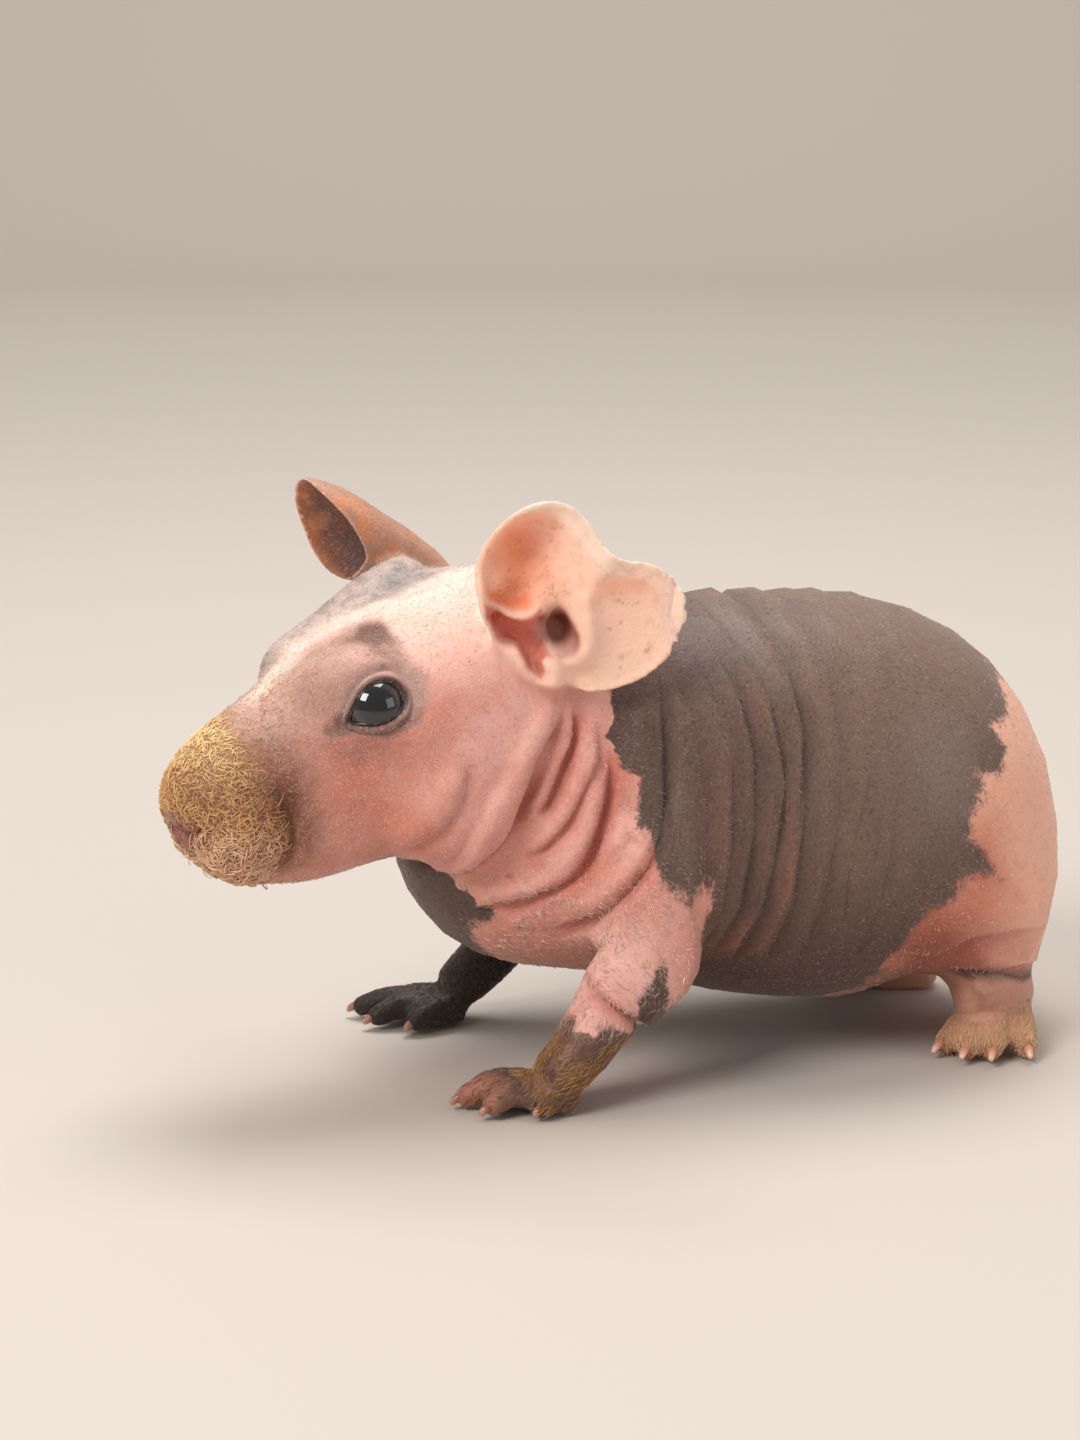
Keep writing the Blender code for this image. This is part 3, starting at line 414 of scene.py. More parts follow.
def eyeball_mesh(side, radius):
    body = bmesh.new()
    bmesh.ops.create_uvsphere(body, u_segments=32, v_segments=20, radius=radius * MM)
    centre = head_to_body(EYE_CENTRE * (1, -side, 1)) + SHIFT
    body.transform(Matrix.Translation(Vector(centre * MM)))
    return body


def eased(places, edges, strength, rounds, drive=0.0):
    """places drawn towards the middle of their neighbours, each by its own strength, again and again. drive
    is the part of each round's move that goes on in the next, so that fewer rounds reach as far."""
    edges = edges[(strength[edges] > 0.002).any(axis=1)]
    a, b = edges.T
    count = np.maximum(np.bincount(edges.ravel(), minlength=len(places)), 1)[:, None]
    strength = np.where(strength > 0.002, strength, 0)
    move = 0
    for _ in range(rounds):
        total = [np.bincount(a, places[b, k], len(places)) + np.bincount(b, places[a, k], len(places))
                 for k in range(3)]
        move = drive * move + strength[:, None] * (np.stack(total, axis=1) / count - places)
        places = places + move
    return places


def edges_of(mesh):
    found = np.empty(len(mesh.edges) * 2, np.int32)
    mesh.edges.foreach_get("vertices", found)
    return found.reshape(-1, 2)


def put_on(mesh, name, kind, values):
    """Puts values, one for each point of the mesh, on it as an attribute."""
    held = mesh.attributes.get(name) or mesh.attributes.new(name, kind, "POINT")
    field = {"FLOAT": "value", "FLOAT_VECTOR": "vector", "FLOAT_COLOR": "color"}[kind]
    if kind == "FLOAT_COLOR":
        values = np.column_stack([values, np.ones(len(values))])
    held.data.foreach_set(field, np.ascontiguousarray(values, float).ravel())


def cloud(places, size, seed):
    """Smooth noise from 0 to 1 with lumps about size across."""
    table = np.random.default_rng(seed).random((32, 32, 32))
    cell = places / size
    corner = np.floor(cell).astype(int)
    t = cell - corner
    t = t * t * (3 - 2 * t)
    total = np.zeros(len(places))
    for pick in np.ndindex(2, 2, 2):
        weight = np.prod(np.where(pick, t, 1 - t), axis=1)
        total += weight * table[tuple(((corner + pick) % 32).T)]
    return total


def tree_of(places):
    tree = KDTree(len(places))
    for k, place in enumerate(places):
        tree.insert(place, k)
    tree.balance()
    return tree


def fold(places, normals, marks, route, depth, width, roll, ends=0.2, front=1):
    """Presses a furrow along route into the skin. In front of it the skin hangs over in a soft roll, and
    behind it the skin rises gently. With front 0 both sides are alike. marks takes the furrow's red with
    painted shade in and behind it, and the roll's crown as a painted highlight."""
    route = np.array(route, float)
    reach = 5.5 * width
    near = np.nonzero(((places > route.min(0) - reach) & (places < route.max(0) + reach)).all(axis=1))[0]
    if not len(near):
        return
    share = np.linspace(0, 1, 120)
    line = curve(np.linspace(0, 1, len(route)), route, share)
    tree = tree_of(line)
    found = [tree.find(place) for place in places[near]]
    nearest = np.array([k for _, k, _ in found])
    away = np.array([distance for _, _, distance in found])
    close = away < reach
    near, nearest, away = near[close], nearest[close], away[close]
    offset = places[near] - line[nearest]
    ahead = np.cross(np.gradient(line, axis=0)[nearest], normals[near])
    ahead *= front / np.linalg.norm(ahead, axis=1)[:, None]
    across = (offset * ahead).sum(axis=1) if front else away
    fade = step(0, ends, share[nearest]) * step(0, ends, 1 - share[nearest])
    crease = bump(across, 0, np.where(across > 0, 0.75, 1.35) * width) if front else bump(away, 0, width)
    push = roll * (bump(across, 2.0 * width, 1.5 * width) + 0.3 * bump(across, -3.2 * width, 1.7 * width))
    places[near] += normals[near] * (fade * (push - depth * crease))[:, None]
    places[near] -= ahead * (0.45 * roll * fade * bump(across, 1.1 * width, 1.0 * width))[:, None]
    # The furrow's red and painted shade, and a painted highlight on the roll's crown, go into marks.
    near_it = fade * min(depth, 1.2) * (0.45 * crease + 0.55 * bump(across, -0.6 * width, 2.8 * width))
    marks[0, near] = np.maximum(marks[0, near], near_it)
    marks[1, near] = np.maximum(marks[1, near], fade * min(roll, 1) * bump(across, 2.2 * width, 1.5 * width))


FORE_TOES = {
    LEFT: (((-20.0, -17.5, 3.4), (-24.5, -14.5, 1.8)), ((-22.5, -20.8, 4.2), (-28.8, -19.8, 1.7)),
           ((-21.0, -24.6, 4.4), (-26.2, -25.6, 1.7)), ((-16.0, -26.6, 3.6), (-19.0, -28.2, 1.7))),
    RIGHT: (((-21.5, 17.2, 3.8), (-26.0, 15.6, 1.8)), ((-25.0, 20.6, 4.2), (-31.2, 20.6, 1.8)),
            ((-25.0, 24.6, 4.2), (-32.0, 27.6, 1.8)), ((-19.5, 27.0, 3.4), (-23.5, 31.2, 1.8))),
}
HIND_TOES = {
    LEFT: (((53.0, -16.6, 4.0), (48.4, -19.4, 1.9)), ((54.6, -19.2, 5.4), (50.6, -23.6, 2.1)),
           ((57.4, -20.6, 5.8), (54.2, -25.6, 2.1)), ((61.6, -20.4, 5.0), (60.2, -25.6, 1.9))),
    RIGHT: (((48.0, 18.4, 4.4), (42.5, 18.8, 1.9)), ((48.0, 22.4, 5.0), (42.0, 24.0, 2.1)),
            ((50.0, 26.0, 4.2), (45.5, 28.8, 1.9))),
}
TOES = [(np.array(knuckle), np.array(tip)) for feet in (FORE_TOES, HIND_TOES)
        for toes in feet.values() for knuckle, tip in toes]
# The ball in the end of each toe, and how far back from the tip its middle is.
TOE_RADIUS, TOE_SETBACK = 1.45, 1.3

# The furrows of the neck and of the haunch, each with its depth, width, roll and route down the left side.
# The right side has the same ones.
FURROWS = (
    (1.1, 1.0, 1.4, ((-11.0, -20.0, 60.0), (-13.8, -20.9, 56.5), (-17.0, -21.6, 52.0), (-19.6, -19.6, 46.0),
                     (-23.8, -17.4, 41.3), (-28.5, -11.5, 36.8), (-31.8, -4.0, 34.6), (-32.8, 0.0, 34.2))),
    (0.8, 1.2, 0.8, ((-26.0, -22.2, 54.0), (-28.6, -22.6, 46.8), (-30.8, -22.4, 43.6), (-33.3, -21.3, 41.2),
                     (-36.5, -17.0, 38.8))),
    (1.3, 0.75, 0.8, ((-10.6, -20.0, 60.0), (-11.3, -20.2, 54.5), (-13.0, -20.4, 50.0), (-14.8, -20.3, 45.7),
                      (-16.6, -20.2, 42.6))),
    (0.8, 0.7, 0.6, ((-7.0, -19.8, 58.0), (-8.0, -21.2, 51.1), (-10.1, -21.9, 46.3), (-12.2, -21.3, 42.0),
                     (-15.0, -20.2, 38.7), (-18.6, -19.0, 35.8))),
    (1.6, 0.95, 1.1, ((-5.8, -20.3, 57.5), (-6.2, -21.7, 49.0), (-7.7, -22.2, 42.0), (-9.4, -21.6, 36.8),
                      (-12.0, -20.8, 33.4), (-16.0, -18.6, 31.0), (-20.6, -16.7, 29.5),
                      (-25.0, -13.0, 27.4))),
    (1.5, 0.85, 0.9, ((4.6, -13.0, 68.5), (2.2, -20.3, 59.8), (1.6, -23.2, 52.0), (1.2, -24.5, 45.4),
                      (-0.7, -27.7, 41.3), (-2.8, -28.7, 37.4), (-5.8, -27.4, 33.2), (-8.6, -22.2, 28.3),
                      (-11.6, -18.4, 25.4), (-17.0, -16.0, 24.6))),
    (0.75, 1.1, 0.6, ((64.0, -22.0, 21.6), (58.6, -24.7, 20.4), (54.2, -25.4, 20.7), (50.7, -25.5, 20.3),
                      (48.2, -25.3, 19.9), (45.8, -24.7, 18.8), (41.0, -22.5, 15.9))),
    (0.45, 0.8, 0.35, ((65.0, -21.0, 20.4), (60.3, -23.8, 18.4), (57.7, -24.4, 17.7), (53.0, -25.0, 16.8))),
)
# The rings of loose skin round the body behind the shoulder: where each crease crosses mid height, its depth
# and its width. Higher and lower it leans along by so much: the front ones like the first line, the rear ones
# like the second, by height.
RINGS = ((7.2, 0.45, 0.9), (11.2, 0.45, 0.7), (14.7, 1.0, 0.75), (18.4, 1.0, 0.75), (22.5, 1.15, 0.9),
         (27.3, 0.55, 1.1), (31.8, 0.35, 1.0), (36.3, 0.4, 1.2), (41.0, 0.25, 1.2))
FRONT_LEAN = ((20, -4.4), (25, -2.8), (30, -1.6), (38, -0.6), (46, 0), (53, 0), (59, -0.9), (65, -3.0),
              (72, -6.4))
REAR_LEAN = ((20, -4.6), (31, -2.6), (40, -1.4), (50, 0), (58, 0.9), (66, 1.5), (72, 1.8))
# Those of the left legs as they stand: the loose skin over the forearm, and the haunch's hem over the ankle.
LEG_FURROWS = (
    (1.3, 0.8, 1.1, ((-0.5, -24.5, 12.4), (-2.9, -26.9, 13.4), (-7.0, -29.1, 15.9), (-9.6, -27.8, 18.3),
                     (-13.5, -25.5, 21.3))),
    (1.0, 0.8, 0.6, ((64.6, -17.5, 13.3), (62.0, -21.0, 13.8), (58.6, -23.6, 14.4), (54.5, -25.2, 14.8),
                     (50.0, -25.4, 15.2), (45.5, -24.2, 15.4))),
)


def toe_ball(knuckle, tip):
    """Fills the seat of a claw in the end of a toe."""
    ahead = (tip - knuckle) * (1, 1, 0)
    place = tip - TOE_SETBACK * ahead / np.linalg.norm(ahead)
    body = bmesh.new()
    bmesh.ops.create_icosphere(body, subdivisions=2, radius=TOE_RADIUS * MM)
    body.transform(Matrix.Translation(Vector((place + SHIFT) * MM)))
    return new_object("toe_ball", body)


def ring(places, normals, marks, along, depth, width, seed):
    """Presses one crease all round the body, a little deeper here and there."""
    x, _, z = places.T
    rear = step(14, 33, along)
    front_lean, rear_lean = (curve(*np.array(line).T, np.clip(z, 20, 72)) for line in (FRONT_LEAN, REAR_LEAN))
    sway = 1.5 * (cloud(places / (2.0, 1, 1), 11.0, seed) - 0.5)
    across = along + (1 - rear) * front_lean + rear * rear_lean + sway - x
    bottom = 36 if along < 12 else 24
    streaks = cloud(places / (3, 1, 1), 9.0, seed + 50)
    fade = step(bottom - 6, bottom, z) * (0.5 + 0.9 * streaks) * step(0, 3, x)
    crease = bump(across, 0, np.where(across > 0, 0.75, 1.35) * width)
    crown_highlight = bump(across, 2.0 * width, 1.4 * width)
    push = 0.7 * depth * (crown_highlight + 0.3 * bump(across, -3.2 * width, 1.7 * width))
    places += normals * (fade * (push - depth * crease))[:, None]
    # Red and painted shade in and behind the crease, and a painted highlight on its crown.
    red_and_shade = 0.45 * crease + 0.55 * bump(across, -0.6 * width, 2.4 * width)
    marks[0] = np.maximum(marks[0], fade * depth * red_and_shade)
    marks[1] = np.maximum(marks[1], fade * depth * crown_highlight)


def near_toes(places):
    """How far places are from the nearest toe's bone."""
    away = np.full(len(places), 99.0)
    for knuckle, tip in TOES:
        along = np.clip((places - knuckle) @ (tip - knuckle) / ((tip - knuckle) @ (tip - knuckle)), -0.4, 1)
        away = np.minimum(away, np.linalg.norm(places - knuckle - along[:, None] * (tip - knuckle), axis=1))
    return away


pieces = [swollen_copy(node) for node in FLESH_NODES]
pieces += [ear_wall(side, word) for side, word in SIDES]
pieces += [new_object("eyeball", eyeball_mesh(side, EYE_RADIUS + 0.15)) for side, _ in SIDES]
pieces += [toe_ball(knuckle, tip) for knuckle, tip in TOES]
skin = remeshed(joined(pieces, "skin"), SKIN_GRID)

EYE_AXIS = np.array([0.30, 0.92, 0.22])
EYE_OPENING = (4.3, 2.7)  # half length and half height between the lids
EYE_SLANT = math.radians(24)  # the outer corner is the higher one
LID = 0.75


def eye_frame(side):
    """The centre of an eyeball, and its forward-to-back, upward and outward directions."""
    def to_side(v):
        return np.array([v[0], -side * v[1], v[2]])
    outward = to_side(EYE_AXIS) / np.linalg.norm(EYE_AXIS)
    back = to_side((-math.cos(EYE_SLANT), 0, math.sin(EYE_SLANT)))
    back = back - outward * (back @ outward)
    back /= np.linalg.norm(back)
    up = np.cross(outward, back)
    return head_to_body(to_side(EYE_CENTRE)), np.array([back, up * np.sign(up[2]), outward]) @ HEAD_AXES


def opening_height(u, v):
    """Half the height of an eye's opening at u, above or below its middle. The front corner draws out to a
    point."""
    half, high = EYE_OPENING
    taper = 1 - 0.42 * bump(np.clip(u / half, -1.3, 1.3), -1.15, 0.55)
    return high * np.where(v > 0, 1.06, 0.94) * (1 + 0.04 * u) * taper


def eye_span(places, side):
    """How far out from the middle of the eye's opening places are: 1 on the lids' edge. Also how far in
    front."""
    centre, (back, up, outward) = eye_frame(side)
    offset = places - centre
    u, v = offset @ back, offset @ up
    span = np.hypot(u / EYE_OPENING[0], v / opening_height(u, v))
    return span, offset @ outward, np.linalg.norm(offset, axis=1)


def open_lids(places, side):
    """Moves the skin round an eye on to its lids, and behind the eyeball's front between them."""
    centre, _ = eye_frame(side)
    span, front, distance = eye_span(places, side)
    inside = step(1.06, 0.94, span)
    lid = LID * (1 - inside) * (0.75 + 0.25 * step(1, 1.3, span))
    wanted = EYE_RADIUS + lid + 0.30 * bump(span, 1.22, 0.13)
    wanted = wanted - 0.42 * bump(span, 1.58, 0.10) + 0.30 * bump(span, 1.82, 0.16) - 1.7 * inside
    hold = np.where((front > 0) & (distance < 3 * EYE_RADIUS), step(2.15, 1.25, span), 0)
    places += (places - centre) / distance[:, None] * ((wanted - distance) * hold)[:, None]


def near_ears(places):
    """How far places are from each ear's middle layer, out to 4 mm, and the nearest share of the way to its
    rim."""
    share, angle = np.meshgrid(np.linspace(0.02, 1, 50), np.linspace(0, 2 * math.pi, 150), indexing="ij")
    away = []
    for side, _ in SIDES:
        layer = head_to_body(ear_places(side, share, angle)).reshape(-1, 3)
        tree = tree_of(layer)
        found = np.tile((4.0, 0.0), (len(places), 1))
        close = ((places > layer.min(0) - 4) & (places < layer.max(0) + 4)).all(axis=1)
        for k in np.nonzero(close)[0]:
            _, nearest, distance = tree.find(places[k])
            found[k] = min(4.0, distance), share.flat[nearest]
        away.append(found.T)
    return away


def head_route(route, side):
    return head_to_body(np.array(route) * (1, -side, 1))


places, edges = places_of(skin.data), edges_of(skin.data)
head = body_to_head(places)
ear_away = np.minimum(*(away for away, _ in near_ears(places)))
on_ear = step(1.5, 0.9, ear_away)
on_foot = step(13.5, 8.5, places[:, 2])
on_head = step(0, 14, head[:, 0]) * step(28, 36, places[:, 2])
softness = np.maximum((1 - 0.62 * on_head - 0.25 * step(50, 58, head[:, 0]) * on_head)
                      * (1 - 0.9 * on_foot), 0.05)
places = eased(places, edges, 0.5 * softness * (1 - 0.97 * on_ear), 85)
trunk = step(22, 30, places[:, 2] + 8 * step(30, 40, places[:, 0])) * step(8, -2, head[:, 0]) * (1 - on_ear)
places = eased(places, edges, 0.5 * trunk * step(2, 4, ear_away), 200)
full = trunk * step(2, 12, places[:, 0]) * step(2, 4, ear_away)
places = eased(places, edges, 0.5 * full, 130, 0.85)
# The ears' roots run into the head in soft fillets, and the near one's front melts into the cheek.
places = eased(places, edges, 0.45 * bump(ear_away, 1.7, 0.8) * step(56, 40, np.abs(head[:, 0] - 14) * 4), 16)
back, up, out, share, degrees = on_near_ear(places)
melt = step(0.70, 0.88, share) * step(1.75, 1.25, share) * step(148, 166, degrees) * step(298, 284, degrees)
places = eased(places, edges, 0.5 * melt * step(6, 4, np.abs(out)), 40)
# The near haunch ends in a hem over the ankle, and its underside rises from the belly to the hem.
UNDERSIDE = ((33, 9), (36, 11.5), (39, 13.6), (42, 14.8), (46, 15.2), (50.3, 14.8), (51.6, 12.5), (53, 9),
             (55, 4))
rise = read_line(UNDERSIDE, places[:, 0]) - 0.21 * (places[:, 1] + 25) - places[:, 2]
under = step(-3, -7, places[:, 1]) * step(32, 36, places[:, 0]) * step(55, 53, places[:, 0])
under *= step(3.0, 4.6, near_toes(places))
places[:, 2] += 0.94 * under * np.maximum(rise, 0)
places = eased(places, edges, 0.45 * under * step(-2.5, -0.5, rise), 30)
ANKLE_REAR = np.array([64.5, -16.0, 14.0])
places = eased(places, edges, 0.5 * step(7.0, 4.0, np.linalg.norm(places - ANKLE_REAR, axis=1)), 60)
# The elbow's loose skin hangs in a rounded bag.
ELBOW, ELBOW_BAG = np.array([1.0, -28.5, 18.0]), np.array([-0.6, -28.3, 17.0])
places = eased(places, edges, 0.5 * step(9.0, 5.0, np.linalg.norm(places - ELBOW, axis=1)), 60)
hang = bump(np.linalg.norm((places - ELBOW_BAG) / (1.2, 1.0, 0.9), axis=1), 0, 4.2)
places += hang[:, None] * (0.5, -0.3, -2.4)
set_places(skin.data, places)
# Easing draws the body in, so it is let out again.
places -= (SWELL - LET_OUT * full)[:, None] * normals_of(skin.data)
set_places(skin.data, places)
normals = normals_of(skin.data)
mirror = np.array([1, -1, 1])
marks = np.zeros((2, len(places)))
for depth, width, roll, route in FURROWS:
    fold(places, normals, marks, np.array(route), depth, width, roll)
    fold(places, normals, marks, np.array(route) * mirror, depth, width, roll, front=-1)
for depth, width, roll, route in LEG_FURROWS:
    fold(places, normals, marks, route, depth, width, roll)
for k, (along, depth, width) in enumerate(RINGS):
    ring(places, normals, marks, along, depth, width, 110 + k)
# On each side of the face: depth, width, roll, how soon the ends fade, and route in the head. They are the
# nostril, the lips, the pad of the upper lip and the crease over the upper lid.
FACE_FURROWS = (
    (1.8, 0.6, 0.4, 0.12, ((64.8, 0.4, 43.3), (63.5, 2.2, 42.2), (62.9, 3.6, 42.8), (62.4, 6.8, 44.1))),
    (1.3, 0.6, 0.3, 0.1, ((63.6, 0, 42.4), (61.0, 0, 39.0), (59.6, 2.2, 37.0), (56.5, 4.6, 35.6),
                          (52.5, 6.4, 35.8))),
    (0.55, 0.9, 0.5, 0.25, ((53.8, 7.4, 55.9), (52.1, 10.2, 49.5), (51.1, 10.4, 44.4), (51.2, 9.8, 40.9),
                            (53.8, 8.6, 37.5))),
    (0.55, 0.45, 0.3, 0.3, ((43.4, 9.8, 60.6), (42.5, 9.2, 62.8), (39.3, 9.6, 65.1), (36.3, 11.4, 65.4),
                            (34.2, 13.9, 62.8), (33.8, 14.9, 60.4))),
)
for side, _ in SIDES:
    for depth, width, roll, ends, route in FACE_FURROWS:
        fold(places, normals, marks, head_route(route, side), depth, width, roll, ends, front=0)
    open_lids(places, side)

# Fine wrinkles cross the neck and run down the flanks, deepest where the skin is loose.
head = body_to_head(places)
loose = step(20, 4, head[:, 0]) * step(12, 20, places[:, 2]) * (1 - on_ear) * step(60, 45, places[:, 0])
loose *= 0.45 + 0.55 * step(34, 18, places[:, 0])
sway = cloud(places, 9.0, 3)[:, None] * (3.0, 1.0, 3.0)
wrinkle = 1 - np.abs(2 * cloud((places + sway) / (1, 4.0, 5.0), 1.5, 4) - 1)
wrinkle += 0.6 * (1 - np.abs(2 * cloud((places + sway) / (1, 3.0, 3.6), 0.9, 5) - 1))
places -= normals * (WRINKLE_DEPTH * loose * wrinkle)[:, None]
places[:, 2] = np.maximum(places[:, 2], -SHIFT[2])
set_places(skin.data, places)
# The furrows' red and painted shade, and the painted highlight on the rolls' crowns, stay on the skin.
for name, values in zip(("crease_shade_red", "crown_highlight"), marks):
    put_on(skin.data, name, "FLOAT", values)

# Fewer faces where the skin is plain.
SKIN_FACES = 196000
fine = np.maximum.reduce([0.55 * on_head, 0.85 * on_ear, 0.8 * on_foot, 0.9 * step(52, 56, head[:, 0])])
for side, _ in SIDES:
    span, front, _ = eye_span(places, side)
    fine = np.maximum(fine, np.where(front > 0, step(2.6, 1.8, span), 0))
coarse = skin.vertex_groups.new(name="coarse")
levels = np.round(np.maximum(1 - fine, 0.1), 1)
for level in np.unique(levels):
    coarse.add(np.nonzero(levels == level)[0].tolist(), level, "REPLACE")
thin = skin.modifiers.new("thin", "DECIMATE")
thin.ratio = SKIN_FACES / (2 * len(skin.data.polygons))
thin.vertex_group = "coarse"
thin.vertex_group_factor = 0.4
applied(skin)
skin.vertex_groups.clear()

# The skin's markings, the same for the hair that grows on it: a dark saddle, a grey throat and right half of
# the face, and pink between, in patches with ragged edges. Some colours here are painted light: shade in the
# furrows, under the eye and under the body, highlights on the rolls and along the forehead's ridge, sheen on
# the saddle, and glow in the ear. Each edge is listed as (height, place along).
PINK, PALE_PINK, DEEP_RED = (0.68, 0.275, 0.21), (0.88, 0.58, 0.49), (0.47, 0.10, 0.065)
COOL_PINK, CHEEK_FLUSH, UNDER_EYE_SHADE = (0.84, 0.49, 0.44), (0.50, 0.14, 0.09), (0.32, 0.12, 0.085)
# A painted highlight for the crowns of the rolls.
CROWN_HIGHLIGHT_PINK = (0.90, 0.50, 0.43)
RUMP_PINK, RUMP_RED, HAUNCH_SHADE = (0.88, 0.46, 0.33), (0.50, 0.13, 0.07), (0.22, 0.05, 0.026)
SADDLE, SADDLE_FRONT_BROWN, SADDLE_TAUPE = (0.095, 0.056, 0.044), (0.130, 0.070, 0.054), (0.205, 0.125, 0.098)
SADDLE_LOW_SHADE, SADDLE_RUST, SADDLE_BLUE_SHEEN = (0.078, 0.038, 0.029), (0.40, 0.145, 0.075), (0.24, 0.19, 0.165)
FACE_GREY, BROW_GREY, CREST_HIGHLIGHT = (0.46, 0.37, 0.33), (0.17, 0.070, 0.045), (0.84, 0.70, 0.61)
BRIDGE, FACE_SPOT = (0.46, 0.29, 0.24), (0.20, 0.14, 0.125)
MUZZLE_BROWN, MUZZLE_TAN, MUZZLE_PINK = (0.085, 0.022, 0.012), (0.36, 0.155, 0.06), (0.24, 0.085, 0.052)
NOSE, NOSE_GREY = (0.24, 0.105, 0.078), (0.09, 0.05, 0.042)
LID_GREY, LOW_LID, LID_RIM = (0.40, 0.25, 0.22), (0.22, 0.105, 0.082), (0.04, 0.028, 0.025)
ANKLE_DARK, TAN_FOOT, BLACK_FOOT = (0.085, 0.040, 0.032), (0.54, 0.27, 0.185), (0.028, 0.016, 0.012)
WRIST_GREY, TOE_BROWN, TOE_PINK = (0.17, 0.10, 0.08), (0.25, 0.11, 0.06), (0.42, 0.16, 0.11)
# The near ear's peach and pink are brightened as a painted glow of light shining through the thin ear.
EAR_GLOWING_PEACH, EAR_ORANGE, EAR_GLOWING_PINK = (1.0, 0.63, 0.48), (0.80, 0.24, 0.10), (1.0, 0.61, 0.49)
EAR_RIM_HIGHLIGHT = (0.97, 0.84, 0.74)
CANAL_PINK, CANAL_SHADE_BROWN = (0.62, 0.115, 0.075), (0.27, 0.05, 0.03)
CUP_OUTSIDE, CUP_RUST = (0.42, 0.22, 0.15), (0.55, 0.22, 0.09)
CUP_INSIDE, CUP_VIOLET = (0.20, 0.07, 0.035), (0.11, 0.07, 0.075)
MOLE, MOTTLE, FAR_BROW = (0.40, 0.09, 0.06), (0.38, 0.20, 0.16), (0.20, 0.17, 0.16)
EAR_SPECK = (0.36, 0.17, 0.11)
HEAD_EDGE = ((30, -46), (33.5, -37), (34.9, -29.5), (40.1, -24.4), (45.1, -20), (49.9, -16.7), (55, -12.6),
             (62, -8), (71, -4))
THROAT_EDGE = ((8, -19), (20, -21.5), (24.5, -22.8), (30.4, -24.2), (31.6, -26.2), (36.5, -30.8))
SADDLE_FRONT = ((0, 8), (14, 6.5), (25.2, 5.1), (34.5, 3.3), (39.2, -1.6), (45.3, -2.0), (51, -5.4),
                (59.2, -6.2), (66, -5), (71, -3))
SADDLE_REAR = ((8, 30), (12.8, 34.9), (18.6, 39.6), (22.9, 41.7), (27.5, 45.2), (32, 47.3), (37.6, 50.7),
               (41.8, 52.8), (47.2, 55.1), (52.5, 56.6), (54, 61.5), (57, 69), (60, 80))
# Streaks of rust in the saddle: place along, height, half width and half height, and lean.
RUST_STREAKS = ((17.6, 55.8, 0.9, 2.0, 0), (7.8, 37.8, 0.9, 2.2, 0.2), (19.4, 36.4, 0.8, 3.0, 0),
                (18.2, 29.7, 0.9, 3.0, 0.2), (13.5, 23.0, 2.6, 2.6, 0.9), (5.5, 22.0, 1.8, 2.4, 0.4),
                (12.0, 47.0, 0.6, 2.2, 0.1))
# Along the head: where the ridge of the forehead runs, to the animal's left of its middle. A pale stripe of
# painted highlight follows it.
RIDGE = ((8, 1.5), (21.6, 1.7), (25.2, 2.4), (29.4, 2.0), (33, 0.0), (37.7, -3.2), (43, -3.8), (46.5, -2.6),
         (52, 0), (60, 0))
MOLES = (((-20.1, -18.3, 34.0), 0.45), ((-11.8, -17.7, 24.8), 0.4), ((-29.6, -8.5, 31.5), 0.6),
         ((8.5, -28.0, 33.0), 0.5))
# Along the hind leg: how high the dark ring over its foot lies, a band of painted shade under the haunch's
# hem.
ANKLE_BAND = ((46, 15.0), (51, 14.8), (55.3, 14.1), (60, 13.0), (63.2, 12.2), (66, 11.8))
# On the head, by height: how far forward the curls of the muzzle begin.
CURL_EDGE = ((34, 55), (38, 52.5), (42, 51.2), (46, 52.6), (50, 55.2), (54, 56.3), (58, 57.2), (62, 58))


def mixed(colours, other, share):
    return colours + (np.array(other) - colours) * np.clip(share, 0, 1)[:, None]


def layered(colours, layers):
    """The colours with each layer laid over them in turn: its colour, and its share from 0 to 1."""
    for other, share in layers:
        colours = mixed(colours, other, share)
    return colours


def plain(count, colour):
    return np.full((count, 3), colour, float)


def spot(one, two, middle, size):
    """1 at the middle of an oval, and less and less away from it."""
    return bump(np.hypot((one - middle[0]) / size[0], (two - middle[1]) / size[1]), 0, 1)


def head_share(places):
    """1 on the head, 0 on the neck and behind."""
    return step(-0.8, 0.8, read_line(HEAD_EDGE, places[:, 2]) - places[:, 0])


def patches(places, size=1.0):
    """Places moved about a little, so that what is drawn by them has ragged edges."""
    shifts = [2.6 * (cloud(places, 4.5, 20 + k) - 0.5) + 2.0 * (cloud(places, 1.7, 30 + k) - 0.5)
              + 1.1 * (cloud(places, 0.7, 40 + k) - 0.5) for k in range(3)]
    return places + size * np.stack(shifts, axis=1)


